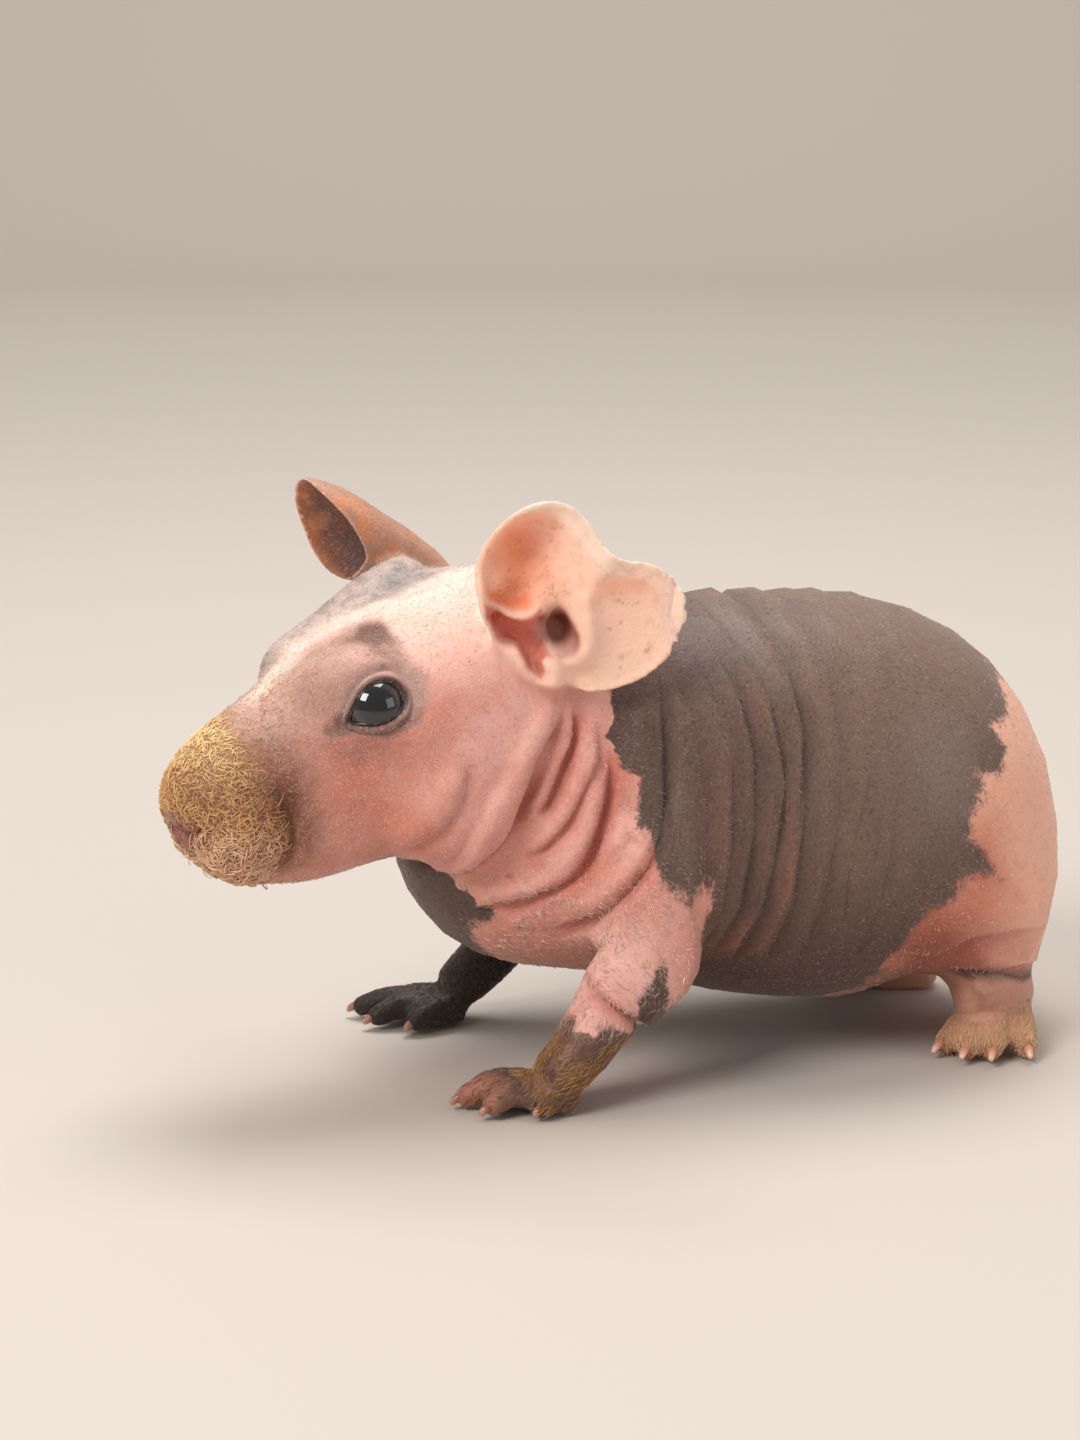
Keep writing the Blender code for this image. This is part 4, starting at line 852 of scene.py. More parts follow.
def dark_share(places):
    """How far the skin is pigmented: 1 on the saddle, the throat and the dark feet, 0 on the pink skin."""
    x, y, z = patches(places).T
    body = (1 - head_share(places)) * step(1.6, 2.6, ear_distance.min(axis=0))
    # The saddle's front edge breaks up into a grey mottle behind the shoulder.
    saddle = step(-0.8, 0.9, x - read_line(SADDLE_FRONT, z))
    calm_x, _, calm_z = patches(places, 0.35).T
    saddle *= step(-0.5, 0.6, read_line(SADDLE_REAR, calm_z) - calm_x)
    loose_edge = 0.47 * step(1.3, 0.7, np.hypot((x + 0.6) / 3.6, (z - 43.0) / 7.0))
    saddle = np.maximum(saddle, loose_edge + 0.12 * (cloud(places, 1.6, 91) - 0.5) * (loose_edge > 0))
    near_arm = step(2, 0, x - 5.5) * (y < -23) * step(34, 31, z)
    saddle *= 1 - near_arm
    dots = step(0.83, 0.89, cloud(places, 1.1, 93)) * step(5, 1, x - read_line(SADDLE_REAR, z)) * (x > 30)
    elbow = np.hypot((calm_x + 0.9 - 0.25 * (calm_z - 19)) / 3.0, (calm_z - 19.0) / 5.2)
    elbow = step(1.2, 0.75, elbow) * (y < -22)
    throat = step(-0.6, 0.6, read_line(THROAT_EDGE, z) - x)
    throat = np.maximum(throat, step(-2, 4, y - 0.5 * (z - 30)) * step(2, -2, x))
    right_leg = step(5, 8, y) * step(2, -2, x) * step(34, 28, z)
    left_wrist = step(0.6, -0.6, z - 13.6 + 0.06 * (x + 10)) * step(2, -1, x) * (y < 0)
    return body * np.maximum.reduce([saddle, 0.8 * dots, 0.95 * elbow, throat, right_leg, left_wrist])


def saddle_tint(places, crease_shade_red, crown_highlight):
    """The colours of the pigmented skin, with painted sheen, shade and highlights over them."""
    x, y, z = places.T
    spots = cloud(places / (1, 2, 2.5), 1.6, 73)
    colours = mixed(plain(len(x), SADDLE), SADDLE_FRONT_BROWN,
                    step(24, 10, x) * step(-8, 4, x) * (0.6 + 0.5 * spots))
    colours = layered(colours, (
        (SADDLE_TAUPE, 0.85 * step(12, 28, x) + 0.4 * step(0.5, 0.8, spots)),
        # Painted shade: the saddle darker towards the belly.
        (SADDLE_LOW_SHADE, 0.9 * step(40, 20, z) * step(0, 8, x)),
    ))
    # Painted sheen: a cool blue-grey bloom in two patches of the saddle.
    sheen_spots = spot(x, z, (12, 67), (9, 6)) + 0.8 * spot(x, z, (44, 46), (7, 8))
    colours = layered(colours, (
        (SADDLE_BLUE_SHEEN, 0.55 * sheen_spots * (0.5 + spots)),
        # Dark down its rear edge.
        (SADDLE, 0.7 * step(8, 1, read_line(SADDLE_REAR, z) - x) * step(56, 44, z)),
        # A painted highlight on the rolls' crowns.
        (SADDLE_TAUPE, 0.45 * crown_highlight * step(2, 8, x)),
    ))
    soft = patches(places, 0.7)
    for along, height, wide, high, lean in RUST_STREAKS:
        away = np.hypot((soft[:, 0] - along - lean * (soft[:, 2] - height)) / wide,
                        (soft[:, 2] - height) / high)
        colours = mixed(colours, SADDLE_RUST, 0.62 * bump(away, 0, 1) * (0.6 + 0.7 * cloud(places, 1.4, 97)))
    colours = layered(colours, (
        # Painted shade in the furrows.
        (SADDLE, 0.6 * crease_shade_red),
        (SADDLE, step(2, -2, x) * (y < 4) * step(13, 16, z) * 0.8),
    ))
    # The forefeet: the left one grey at the wrist and brown in front, the right one black.
    fore = (x < 4) * (y < 0) * step(15.5, 13.5, z)
    colours = layered(colours, (
        (WRIST_GREY, fore),
        (TOE_BROWN, fore * step(-8, -15, x) * (0.6 + 0.4 * step(0.4, 0.6, cloud(places, 1.8, 78)))),
        (ANKLE_DARK, 0.6 * fore * step(0.52, 0.66, cloud(places, 2.4, 79))),
        (TOE_PINK, 0.75 * fore * step(-23.5, -26.5, x)),
    ))
    return mixed(colours, BLACK_FOOT, step(8, 14, y) * step(4, -2, x) * step(34, 26, z))


def face_tint(places, colours):
    """The face over the pink: the right half grey, a painted highlight along the ridge between, painted shade
    under the eye, a brown brow, and a brown muzzle with painted shadow behind the lip's pad.
    """
    on_head = head_share(places)
    forward, left, up = body_to_head(patches(places, 0.6)).T
    ridge = read_line(RIDGE, forward)
    grey = step(-0.6, -3.0, left - ridge) * on_head * step(36, 44, up)
    colours = layered(colours, (
        (PALE_PINK, 0.85 * step(60, 70, up) * on_head * step(46, 34, forward)),
        (CHEEK_FLUSH, 0.75 * on_head * spot(forward, up, (41, 47), (10, 8))),
        (CHEEK_FLUSH, 0.3 * on_head * spot(forward, up, (30, 59), (5, 5))),
        (COOL_PINK, 0.5 * on_head * spot(forward, up, (24, 50), (6, 12))),
        # Painted shade under the eye.
        (UNDER_EYE_SHADE, 0.85 * spot(forward, up, (41, 54.8), (5.5, 2.6)) * (left > 0)),
    ))
    bridge = step(37, 43, forward) * step(57, 62, up + 0.55 * (forward - 42)) * on_head
    colours = mixed(colours, BRIDGE, 0.75 * bridge)
    brow = spot(forward, left, (36.0, 6.6), (3.4, 4.4)) * step(62, 66, up)
    brow *= step(33.0, 34.6, forward)
    band = spot(forward, left, (41.0, 4.6), (5.5, 4.0)) * step(60, 64, up)
    colours = layered(colours, (
        (BROW_GREY, 1.15 * brow + 0.35 * band),
        (FACE_GREY, 0.9 * grey),
    ))
    # A painted highlight along the ridge of the forehead.
    crest_light = bump(left - ridge, 0.4, 2.6 + 1.4 * step(34, 26, forward)) * step(57, 62, up)
    broken = 0.6 + 0.6 * cloud(places, 3.0, 98)
    colours = mixed(colours, CREST_HIGHLIGHT, 0.78 * broken * crest_light * on_head * step(58, 51, forward))
    spots = step(0.54, 0.66, cloud(places, 1.1, 96)) + 0.5 * step(0.55, 0.7, cloud(places, 2.8, 99))
    colours = mixed(colours, FACE_SPOT, 0.5 * spots * grey * (1 - 0.6 * crest_light))
    far_patch = spot(forward, left, (26.5, -4.5), (4.0, 3.5)) * step(66, 70, up)
    colours = mixed(colours, FAR_BROW, 0.8 * far_patch * (0.5 + cloud(places, 0.9, 94)))
    soft = forward + 2.4 * (cloud(places, 2.2, 76) - 0.5)
    muzzle = step(-7.5, 1.5, soft - read_line(CURL_EDGE, up)) * step(34.0, 37.5, up)
    colours = layered(colours, (
        (MUZZLE_PINK, muzzle * step(60, 55, up + 0.25 * (forward - 50))),
        (MUZZLE_TAN, 0.9 * step(-4, 1.5, soft - read_line(CURL_EDGE, up)) * step(49, 55, up)),
    ))
    # A brown patch behind the lip's pad, partly the muzzle's own brown and partly painted shadow.
    brown_patch_and_shadow = np.hypot((soft - 51.6) / 4.4, (up - 47.5 + 0.3 * (forward - 51)) / 7.0)
    colours = mixed(colours, MUZZLE_BROWN, 0.95 * bump(brown_patch_and_shadow, 0, 0.95) * step(1, 4, left))
    tip = np.hypot(forward - 64.4, (up - 42.6) / 0.9)
    colours = mixed(colours, NOSE, step(4.2, 2.6, np.hypot(tip, 0.5 * left)) * on_head)
    lip = bump(np.hypot(forward - 62.6 - 0.35 * (up - 40), (left - 2.6) / 2.0), 0, 1.3)
    lip *= step(35, 37, up) * step(43, 42, up)
    colours = layered(colours, (
        (NOSE, 0.9 * lip),
        (NOSE_GREY, 0.8 * bump(np.hypot(forward - 65.2, up - 46.2), 0, 1.5)
         * step(0.35, 0.6, cloud(places, 0.8, 77))),
    ))
    for side, _ in SIDES:
        span, front, _ = eye_span(places, side)
        ahead = (front > 0) * 1.0
        lid = step(2.1, 1.55, span + 0.4 * (cloud(places, 1.0, 75) - 0.5)) * ahead
        colours = layered(colours, (
            (LID_GREY, 0.85 * lid),
            (LOW_LID, 0.9 * lid * step(60.5, 57.5, up)),
            (LID_RIM, step(1.24, 1.08, span) * ahead),
        ))
    return colours


def ear_tint(places, normals, colours):
    """The ears' colours over the head's, among them a painted glow, a painted highlight and painted shade."""
    back, up, _, share, degrees = on_near_ear(places)
    lean = cloud(places, 3.0, 51) - 0.5
    front, rear, ledge, _ = canal(back, up)
    # Peach and pink, brightened as a painted glow of light through the thin ear.
    inner = mixed(plain(len(places), EAR_GLOWING_PEACH), EAR_GLOWING_PINK,
                  0.75 * bump(np.hypot((back - 8) / 6.5, (up - 2) / 5.0) + 0.5 * lean, 0, 1))
    inner = layered(inner, (
        (EAR_ORANGE, 0.95 * bump(np.hypot((back + 2.8) / 4.4, (up - 13.4) / 6.6) + 0.4 * lean, 0, 1)),
        (EAR_ORANGE, 0.95 * bump(up - ledge, 1.8, 1.3) * step(-9.2, -8, back) * step(-1.6, -3, back)),
        (EAR_ORANGE, 0.4 * bump(np.hypot((back - 12) / 5, (up - 8.5) / 1.8) + 0.5 * lean, 0, 1)),
        (PALE_PINK, 0.7 * bump(up - ledge, 0.5, 0.6) * step(-9, -8, back) * step(-1.2, -2.6, back)),
        (CANAL_PINK, front * (0.75 + 0.5 * lean)),
        # Painted shade, dark brown, in the canal's deep rear hollow and at two places beside it.
        (CANAL_SHADE_BROWN, rear * step(8.5, 3.0, up)),
        (CANAL_SHADE_BROWN, 0.8 * bump(back + 1.1, 0, 0.5) * step(-1.2, 0, up) * step(6.5, 4, up)),
        (CANAL_SHADE_BROWN, 0.6 * bump(np.hypot(back + 3.2, up + 2.2), 0, 1.2)),
        # Dark red painted shade in the pit at the tip of the ledge.
        (DEEP_RED, 0.85 * bump(np.hypot(back + 8.9, up - 6.6), 0, 1.0)),
        (DEEP_RED, 0.45 * bump(np.hypot(back + 9.6, up - 2.4), 0, 0.9)),
    ))
    specks = step(0.80, 0.88, cloud(places, 0.5, 52)) * step(0.35, 0.65, cloud(places, 4.0, 53))
    inner = layered(inner, (
        (EAR_SPECK, 0.5 * specks * step(5.0, 9.0, np.hypot(back, up))),
        # The pale rim, brightest at its top front as a painted highlight.
        (EAR_RIM_HIGHLIGHT, 0.85 * step(2.2, 0.6, np.hypot(back, up) * (1 / share - 1))
         * (0.4 + 0.6 * bump(degrees, 120, 50))),
    ))
    # In front and below, the ear passes into the cheek and has its colour.
    rooted = step(0.66, 0.9, share) * step(150, 168, degrees) * step(298, 282, degrees)
    near = step(2.6, 1.7, ear_distance[0]) * step(0.0, 0.25, share) * (1 - rooted)
    facing = step(-0.25, 0.25, normals @ (EAR_OUT @ HEAD_AXES))
    outer = mixed(plain(len(places), PALE_PINK), PINK, step(0.9, 0.3, share))
    colours = colours + (outer + (inner - outer) * facing[:, None] - colours) * near[:, None]
    # The right ear: brown and grizzled outside, translucent rust and violet inside, with a thin pale rim.
    offset = body_to_head(places) - CUP_ROOT
    axis = CUP_MOUTH - CUP_ROOT
    along = offset @ axis / (axis @ axis)
    spoke = offset - along[:, None] * axis
    inside = ((normals @ HEAD_AXES.T) * spoke).sum(axis=1) < 0
    blotch = 0.6 * cloud(places, 3.4, 61) + 0.4 * cloud(places, 1.2, 62)
    rusty = 0.7 * step(0.52, 0.75, blotch) + 0.5 * step(0.80, 0.95, ear_share[1])
    cup_in = mixed(plain(len(places), CUP_INSIDE), CUP_RUST, rusty)
    cup_in = mixed(cup_in, CUP_VIOLET, 0.85 * bump(ear_share[1], 0.55, 0.26) * step(0.2, 0.5, blotch))
    cup_out = mixed(plain(len(places), CUP_OUTSIDE), CUP_RUST, 0.75 * step(0.42, 0.72, blotch))
    cup_out = mixed(cup_out, FACE_GREY, 0.5 * step(0.45, 0.0, along))
    cup = np.where(inside[:, None], cup_in, cup_out)
    cup = mixed(cup, PALE_PINK, 0.8 * step(0.96, 0.99, ear_share[1]))
    far = step(1.6, 1.0, ear_distance[1]) * step(0.05, 0.25, along)
    return colours + (cup - colours) * far[:, None]


def skin_tint(places, normals, crease_shade_red, crown_highlight):
    """The colours of the skin where it isn't pigmented, and of the head and ears, with painted shade in the
    furrows and under the body, and painted highlights on the rolls.
    """
    on_head = head_share(places)
    x, y, z = patches(places).T
    blotch = cloud(places, 6.0, 71) + 0.5 * cloud(places, 2.0, 72)
    colours = mixed(plain(len(x), PINK), PALE_PINK, 0.40 * step(0.6, 1.2, blotch))
    colours = layered(colours, (
        (COOL_PINK, 0.75 * step(-18, -9, x) * step(4, -2, x) * step(33, 24, z) * step(-14, -21, y)),
        (RUMP_PINK, step(26, 36, x)),
    ))
    edge = x - read_line(SADDLE_REAR, z)
    colours = mixed(colours, RUMP_RED, 0.9 * step(26, 36, x) * step(44, 32, z) * step(15, 4, edge))
    # Painted shade under the haunch, and darker painted shade under the belly's rear between the legs.
    low_shade = step(34, 40, x) * step(27, 17, z + 0.35 * (x - 50)) * step(57, 50, x)
    colours = layered(colours, (
        (HAUNCH_SHADE, 0.85 * low_shade),
        (ANKLE_DARK, 0.7 * step(30, 36, x) * step(18, 14, z) * step(50, 46, x)),
        # A painted highlight on the rolls' crowns.
        (CROWN_HIGHLIGHT_PINK, 0.55 * crown_highlight * (1 - on_head) * step(20, 8, x)),
    ))
    mottle = step(0.56, 0.66, cloud(places, 1.3, 95)) * spot(x, z, (-3, 42), (5, 8))
    colours = mixed(colours, MOTTLE, 0.6 * mottle * (1 - on_head))
    colours = face_tint(places, colours)
    # The furrows' red, with painted shade.
    colours = mixed(colours, DEEP_RED, np.clip(0.72 * crease_shade_red, 0, 0.75) * (1 - 0.5 * on_head))
    for middle, size in MOLES:
        away = np.linalg.norm(places - middle, axis=1)
        colours = mixed(colours, MOLE, 0.9 * step(1.5 * size, 0.7 * size, away))
    # Painted shade on the far hind leg, under the belly.
    colours = mixed(colours, ANKLE_DARK, 0.9 * step(28, 34, x) * step(19, 15, z) * step(4, 8, y))
    band = np.where(y < 0, read_line(ANKLE_BAND, places[:, 0]), 8.0)
    hind = step(0.5, -0.5, z - band) * np.where(y < 0, step(48, 50, x + 0.9 * (12 - z)), step(38, 41, x))
    colours = mixed(colours, TAN_FOOT, hind)
    # Painted shade: a dark band under the haunch's hem, over the hind feet.
    ankle_shade = step(1.35, 0.75, np.abs(places[:, 2] - band)) * step(46, 49, x) * (np.abs(y) > 9)
    colours = mixed(colours, ANKLE_DARK, 0.92 * ankle_shade)
    return ear_tint(places, normals, colours)


places, normals = places_of(skin.data), normals_of(skin.data)
ear_distance, ear_share = np.array(near_ears(places)).swapaxes(0, 1)
marks = np.empty((2, len(places)))
for name, values in zip(("crease_shade_red", "crown_highlight"), marks):
    skin.data.attributes[name].data.foreach_get("value", values)
dark = dark_share(places)
put_on(skin.data, "tint", "FLOAT_COLOR", skin_tint(places, normals, *marks))
put_on(skin.data, "dark_tint", "FLOAT_COLOR", saddle_tint(places, *marks))
put_on(skin.data, "dark", "FLOAT", dark)


class Paint:
    """A socket of a material's nodes, or with no socket the material itself. Sums of these add Math nodes."""

    def __init__(self, tree, socket=None):
        self.tree, self.socket = tree, socket

    def node(self, kind, settings=None, inputs=None, output=0):
        made = self.tree.nodes.new(kind)
        for name, value in (settings or {}).items():
            if name == "stops":
                for place, colour in value:
                    stop = made.color_ramp.elements.new(place)
                    stop.color = colour
                for spare in (-1, 0):
                    made.color_ramp.elements.remove(made.color_ramp.elements[spare])
            else:
                setattr(made, name, value)
        for name, value in (inputs or {}).items():
            if isinstance(value, Paint):
                self.tree.links.new(value.socket, made.inputs[name])
            else:
                made.inputs[name].default_value = value
        return Paint(self.tree, made.outputs[output])

    def into(self, shader, name):
        self.tree.links.new(self.socket, shader.inputs[name])

    def maths(self, operation, one, two=0.0):
        return self.node("ShaderNodeMath", {"operation": operation}, {0: one, 1: two})

    def __add__(self, other):
        return self.maths("ADD", self, other)

    def __mul__(self, other):
        return self.maths("MULTIPLY", self, other)

    def __sub__(self, other):
        return self.maths("SUBTRACT", self, other)

    def __rsub__(self, other):
        return self.maths("SUBTRACT", other, self)

    __radd__, __rmul__ = __add__, __mul__

    def between(self, low, high):
        """0 below low and 1 above high."""
        return self.node("ShaderNodeMapRange", {"interpolation_type": "SMOOTHSTEP"},
                         {"Value": self, "From Min": low, "From Max": high})

    def mix(self, one, two, share, way="MIX"):
        return self.node("ShaderNodeMix", {"data_type": "RGBA", "blend_type": way},
                         {0: share, 6: one, 7: two}, output=2)

    def attribute(self, name, output=0):
        return self.node("ShaderNodeAttribute", {"attribute_name": name}, output=output)

    def place(self):
        return self.node("ShaderNodeTexCoord", output=3)

    def noise(self, size, detail=2.0, place=None):
        return self.node("ShaderNodeTexNoise", {}, {"Vector": place or self.place(), "Scale": 1 / (size * MM),
                                                    "Detail": detail})

    def bump(self, height, depth, strength=1.0, under=None):
        inputs = {"Height": height, "Distance": depth * MM, "Strength": strength}
        if under:
            inputs["Normal"] = under
        return self.node("ShaderNodeBump", {}, inputs)


def new_material(name, constants):
    """A material and its shader, with what is the same all over set on the shader's own sockets."""
    material = bpy.data.materials.new(name)
    material.use_nodes = True
    shader = material.node_tree.nodes["Principled BSDF"]
    for socket, value in constants.items():
        shader.inputs[socket].default_value = value
    return material, shader, Paint(material.node_tree)


def skin_material():
    """Bare skin: matte, faintly translucent, grained like fine leather, with a soft bloom on the pigmented
    parts."""
    material, shader, paint = new_material("skin", {
        "Subsurface Weight": 0.22, "Subsurface Radius": (1.0, 0.45, 0.3), "Subsurface Scale": 0.0011,
        "Specular IOR Level": 0.35, "Sheen Weight": 0.16, "Sheen Roughness": 0.45,
        "Sheen Tint": (1.0, 0.90, 0.84, 1),
    })
    mottle = paint.noise(1.6, 4.0)
    grain = paint.noise(0.45, 3.0)
    # The edge of the pigment is crisp and finely broken.
    dark = (paint.attribute("dark", 2) + (mottle + grain - 1.0) * 0.45).between(0.38, 0.62)
    tone = paint.mix(paint.attribute("tint"), paint.attribute("dark_tint"), dark)
    tone = paint.mix(tone, (0.70, 0.52, 0.47, 1), mottle.between(0.50, 0.72) * 0.30, "MULTIPLY")
    tone = paint.mix(tone, (0.86, 0.62, 0.50, 1), grain.between(0.52, 0.75) * (0.20 - 0.14 * dark))
    tone = paint.mix(tone, (0.5, 0.44, 0.42, 1), grain.between(0.45, 0.30) * dark * 0.7, "MULTIPLY")
    tone.into(shader, "Base Color")
    (0.58 - mottle * 0.16).into(shader, "Roughness")
    cells = paint.node("ShaderNodeTexVoronoi", {"feature": "DISTANCE_TO_EDGE"},
                       {"Vector": paint.place(), "Scale": 1 / (0.75 * MM), "Randomness": 1.0})
    leather = paint.bump(cells.between(0.0, 0.16), 0.05, 0.5)
    pores = paint.bump(paint.noise(0.3, 2.0), 0.06, 0.6, leather)
    soft = paint.bump(paint.noise(2.2, 3.0), 0.22, 0.6, pores)
    soft.into(shader, "Normal")
    return material


skin.data.materials.clear()
skin.data.materials.append(skin_material())
skin.data.shade_smooth()
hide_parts(*FLESH_NODES, "ear_left", "ear_right")
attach(skin, "root")

# The eyes: nearly black wet balls, so dark that the iris hardly shows, each with a clear domed front. A thin
# moist edge lines the lids where they meet the ball.
CORNEA_RISE = 0.22
RIM_RADIUS = 0.17
RIM_SPREAD = 0.985  # of the opening between the lids


def eye_material():
    material, shader, paint = new_material("wet_eye", {
        "Roughness": 0.04, "Specular IOR Level": 0.6, "Coat Weight": 0.6, "Coat Roughness": 0.02,
    })
    ring = paint.attribute("out", 2)
    tone = paint.node("ShaderNodeValToRGB", {"stops": (
        (0.0, (0.006, 0.006, 0.007, 1)), (0.30, (0.008, 0.008, 0.009, 1)), (0.40, (0.032, 0.030, 0.032, 1)),
        (0.74, (0.024, 0.022, 0.023, 1)), (0.86, (0.006, 0.005, 0.005, 1)), (1.0, (0.05, 0.035, 0.03, 1)))},
        {0: ring})
    fibres = paint.noise(0.35, 3.0)
    paint.mix(tone, (0.0, 0.0, 0.0, 1), fibres.between(0.45, 0.7) * 0.4).into(shader, "Base Color")
    return material


def wet_rim_material():
    material, shader, paint = new_material("wet_rim", {"Roughness": 0.12, "Coat Weight": 0.5})
    tone = paint.mix((0.022, 0.015, 0.014, 1), (0.07, 0.035, 0.03, 1), paint.noise(0.7).between(0.45, 0.6))
    tone.into(shader, "Base Color")
    return material


def square_to(along, across):
    """Two directions square to each of along and to one another, the first of them square to across too."""
    along = along / np.linalg.norm(along, axis=1)[:, None]
    one = np.cross(along, across)
    one /= np.linalg.norm(one, axis=1)[:, None]
    return one, np.cross(along, one)


def tube(name, path, radii, sides=10, closed=False, across=(0, 0, 1)):
    """A round closed tube along path with a radius at each point of it, in millimetres."""
    path, radii = np.asarray(path, float), np.asarray(radii, float)
    if closed:
        along = np.roll(path, -1, axis=0) - np.roll(path, 1, axis=0)
    else:
        along = np.gradient(path, axis=0)
    one, two = square_to(along, across)
    angle = np.linspace(0, 2 * math.pi, sides, endpoint=False)[None, :, None]
    rings = path[:, None] + radii[:, None, None] * (np.cos(angle) * one[:, None]
                                                    + np.sin(angle) * two[:, None])
    body = bmesh.new()
    rows = [[body.verts.new(place) for place in ring] for ring in ((rings + SHIFT) * MM).tolist()]
    bands(body, rows + rows[:1] if closed else rows)
    if not closed:
        body.faces.new(rows[0])
        body.faces.new(rows[-1])
    bmesh.ops.recalc_face_normals(body, faces=body.faces)
    made = new_object(name, body)
    made.data.shade_smooth()
    return made


eye_finish, rim_finish = eye_material(), wet_rim_material()
for side, word in SIDES:
    centre, (back, up, outward) = eye_frame(side)
    body = bmesh.new()
    bmesh.ops.create_uvsphere(body, u_segments=72, v_segments=48, radius=EYE_RADIUS * MM)
    eye = new_object(f"eyeball_{word}", body)
    places = places_of(eye.data) + SHIFT  # about the middle of the ball
    facing = places @ outward / EYE_RADIUS
    places += places * (CORNEA_RISE / EYE_RADIUS * step(0.62, 0.95, facing))[:, None]
    out = np.arccos(np.clip(facing, -1, 1)) / (math.pi / 2)
    set_places(eye.data, places + centre)
    put_on(eye.data, "out", "FLOAT", np.clip(out, 0, 1))
    eye.data.materials.append(eye_finish)
    eye.data.shade_smooth()
    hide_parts(f"eye_{word}")
    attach(eye, "root")
    turn = np.linspace(0, 2 * math.pi, 90, endpoint=False)
    u = RIM_SPREAD * EYE_OPENING[0] * np.cos(turn)
    v = RIM_SPREAD * np.sin(turn) * opening_height(u, np.sin(turn))
    rise = np.sqrt(np.maximum((EYE_RADIUS + 0.16) ** 2 - u**2 - v**2, 0))
    path = centre + u[:, None] * back + v[:, None] * up + rise[:, None] * outward
    rim = tube(f"eye_rim_{word}", path, np.full(len(path), RIM_RADIUS), 10, True, outward)
    rim.data.materials.append(rim_finish)
    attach(rim, "root")

# The claws: short blunt curved horn, one out of the end of each toe, paler and clearer towards its tip. Those
# of the forefeet hardly clear the toes.
CLAW_PROFILE = ((0, 0.74), (0.3, 0.76), (0.65, 0.64), (0.9, 0.44), (1, 0.26))
CLAW_REACH = {"forefoot": 1.7, "hindfoot": 2.8}
CLAW_ROOT, CLAW_SIDES, CLAW_RINGS = 0.6, 14, 18
QUICK = {"forefoot": (0.32, 0.115, 0.075), "hindfoot": (0.66, 0.27, 0.18)}  # the pink inside the horn
CLEAR_TIP = {"forefoot": 0.35, "hindfoot": 0.9}


def claw_material():
    material, shader, paint = new_material("horn", {
        "Roughness": 0.32, "Subsurface Weight": 0.3, "Subsurface Radius": (1, 0.6, 0.4),
        "Subsurface Scale": 0.0006,
    })
    along = paint.attribute("along", 2)
    quick = paint.attribute("quick", 0)
    tone = paint.mix(quick, (0.84, 0.58, 0.44, 1), along.between(0.5, 1.0) * paint.attribute("clear", 2))
    stripes = paint.noise(0.25)
    tone = paint.mix(tone, (0.55, 0.36, 0.26, 1), stripes.between(0.5, 0.75) * 0.4)
    tone.into(shader, "Base Color")
    paint.bump(stripes, 0.04).into(shader, "Normal")
    return material


horn = claw_material()
for foot, feet in (("forefoot", FORE_TOES), ("hindfoot", HIND_TOES)):
    for side, word in SIDES:
        for k, (knuckle, tip) in enumerate(feet[side]):
            knuckle, tip = np.array(knuckle), np.array(tip)
            ahead = (tip - knuckle) * (1, 1, 0)
            ahead /= np.linalg.norm(ahead)
            start = tip + (0, 0, 0.1) - 0.9 * ahead
            share = np.linspace(0, 1, CLAW_RINGS)
            reach = -CLAW_ROOT + (CLAW_REACH[foot] + CLAW_ROOT) * share
            drop = curve((0, 0.35, 0.7, 1), (0, 0.12, -0.1, -0.75), share)
            path = start + reach[:, None] * ahead + drop[:, None] * (0, 0, 1)
            radii = curve(*np.array(CLAW_PROFILE).T, share)
            claw = tube(f"horn_{foot}_{word}_{k + 1}", path, radii, CLAW_SIDES)
            count = CLAW_SIDES * CLAW_RINGS
            put_on(claw.data, "along", "FLOAT", np.repeat(share, CLAW_SIDES))
            put_on(claw.data, "quick", "FLOAT_COLOR", np.tile(QUICK[foot], (count, 1)))
            put_on(claw.data, "clear", "FLOAT", np.full(count, CLEAR_TIP[foot]))
            claw.data.materials.append(horn)
            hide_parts(f"claw_{foot}_{word}_{k + 1}")
            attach(claw, "root")

# The coat: next to nothing on a skinny pig. Short fuzz lies back over the whole skin, denser on the face,
# longer and sleek on the feet, and a patch of tight golden curls covers the muzzle. Each hair is a thin
# tapered horn of its own.
HAIR_SIDES = 3
PATCH_SIZE = 0.003  # of one hair on the unwrapped skin
OVER_FLOOR = 0.02


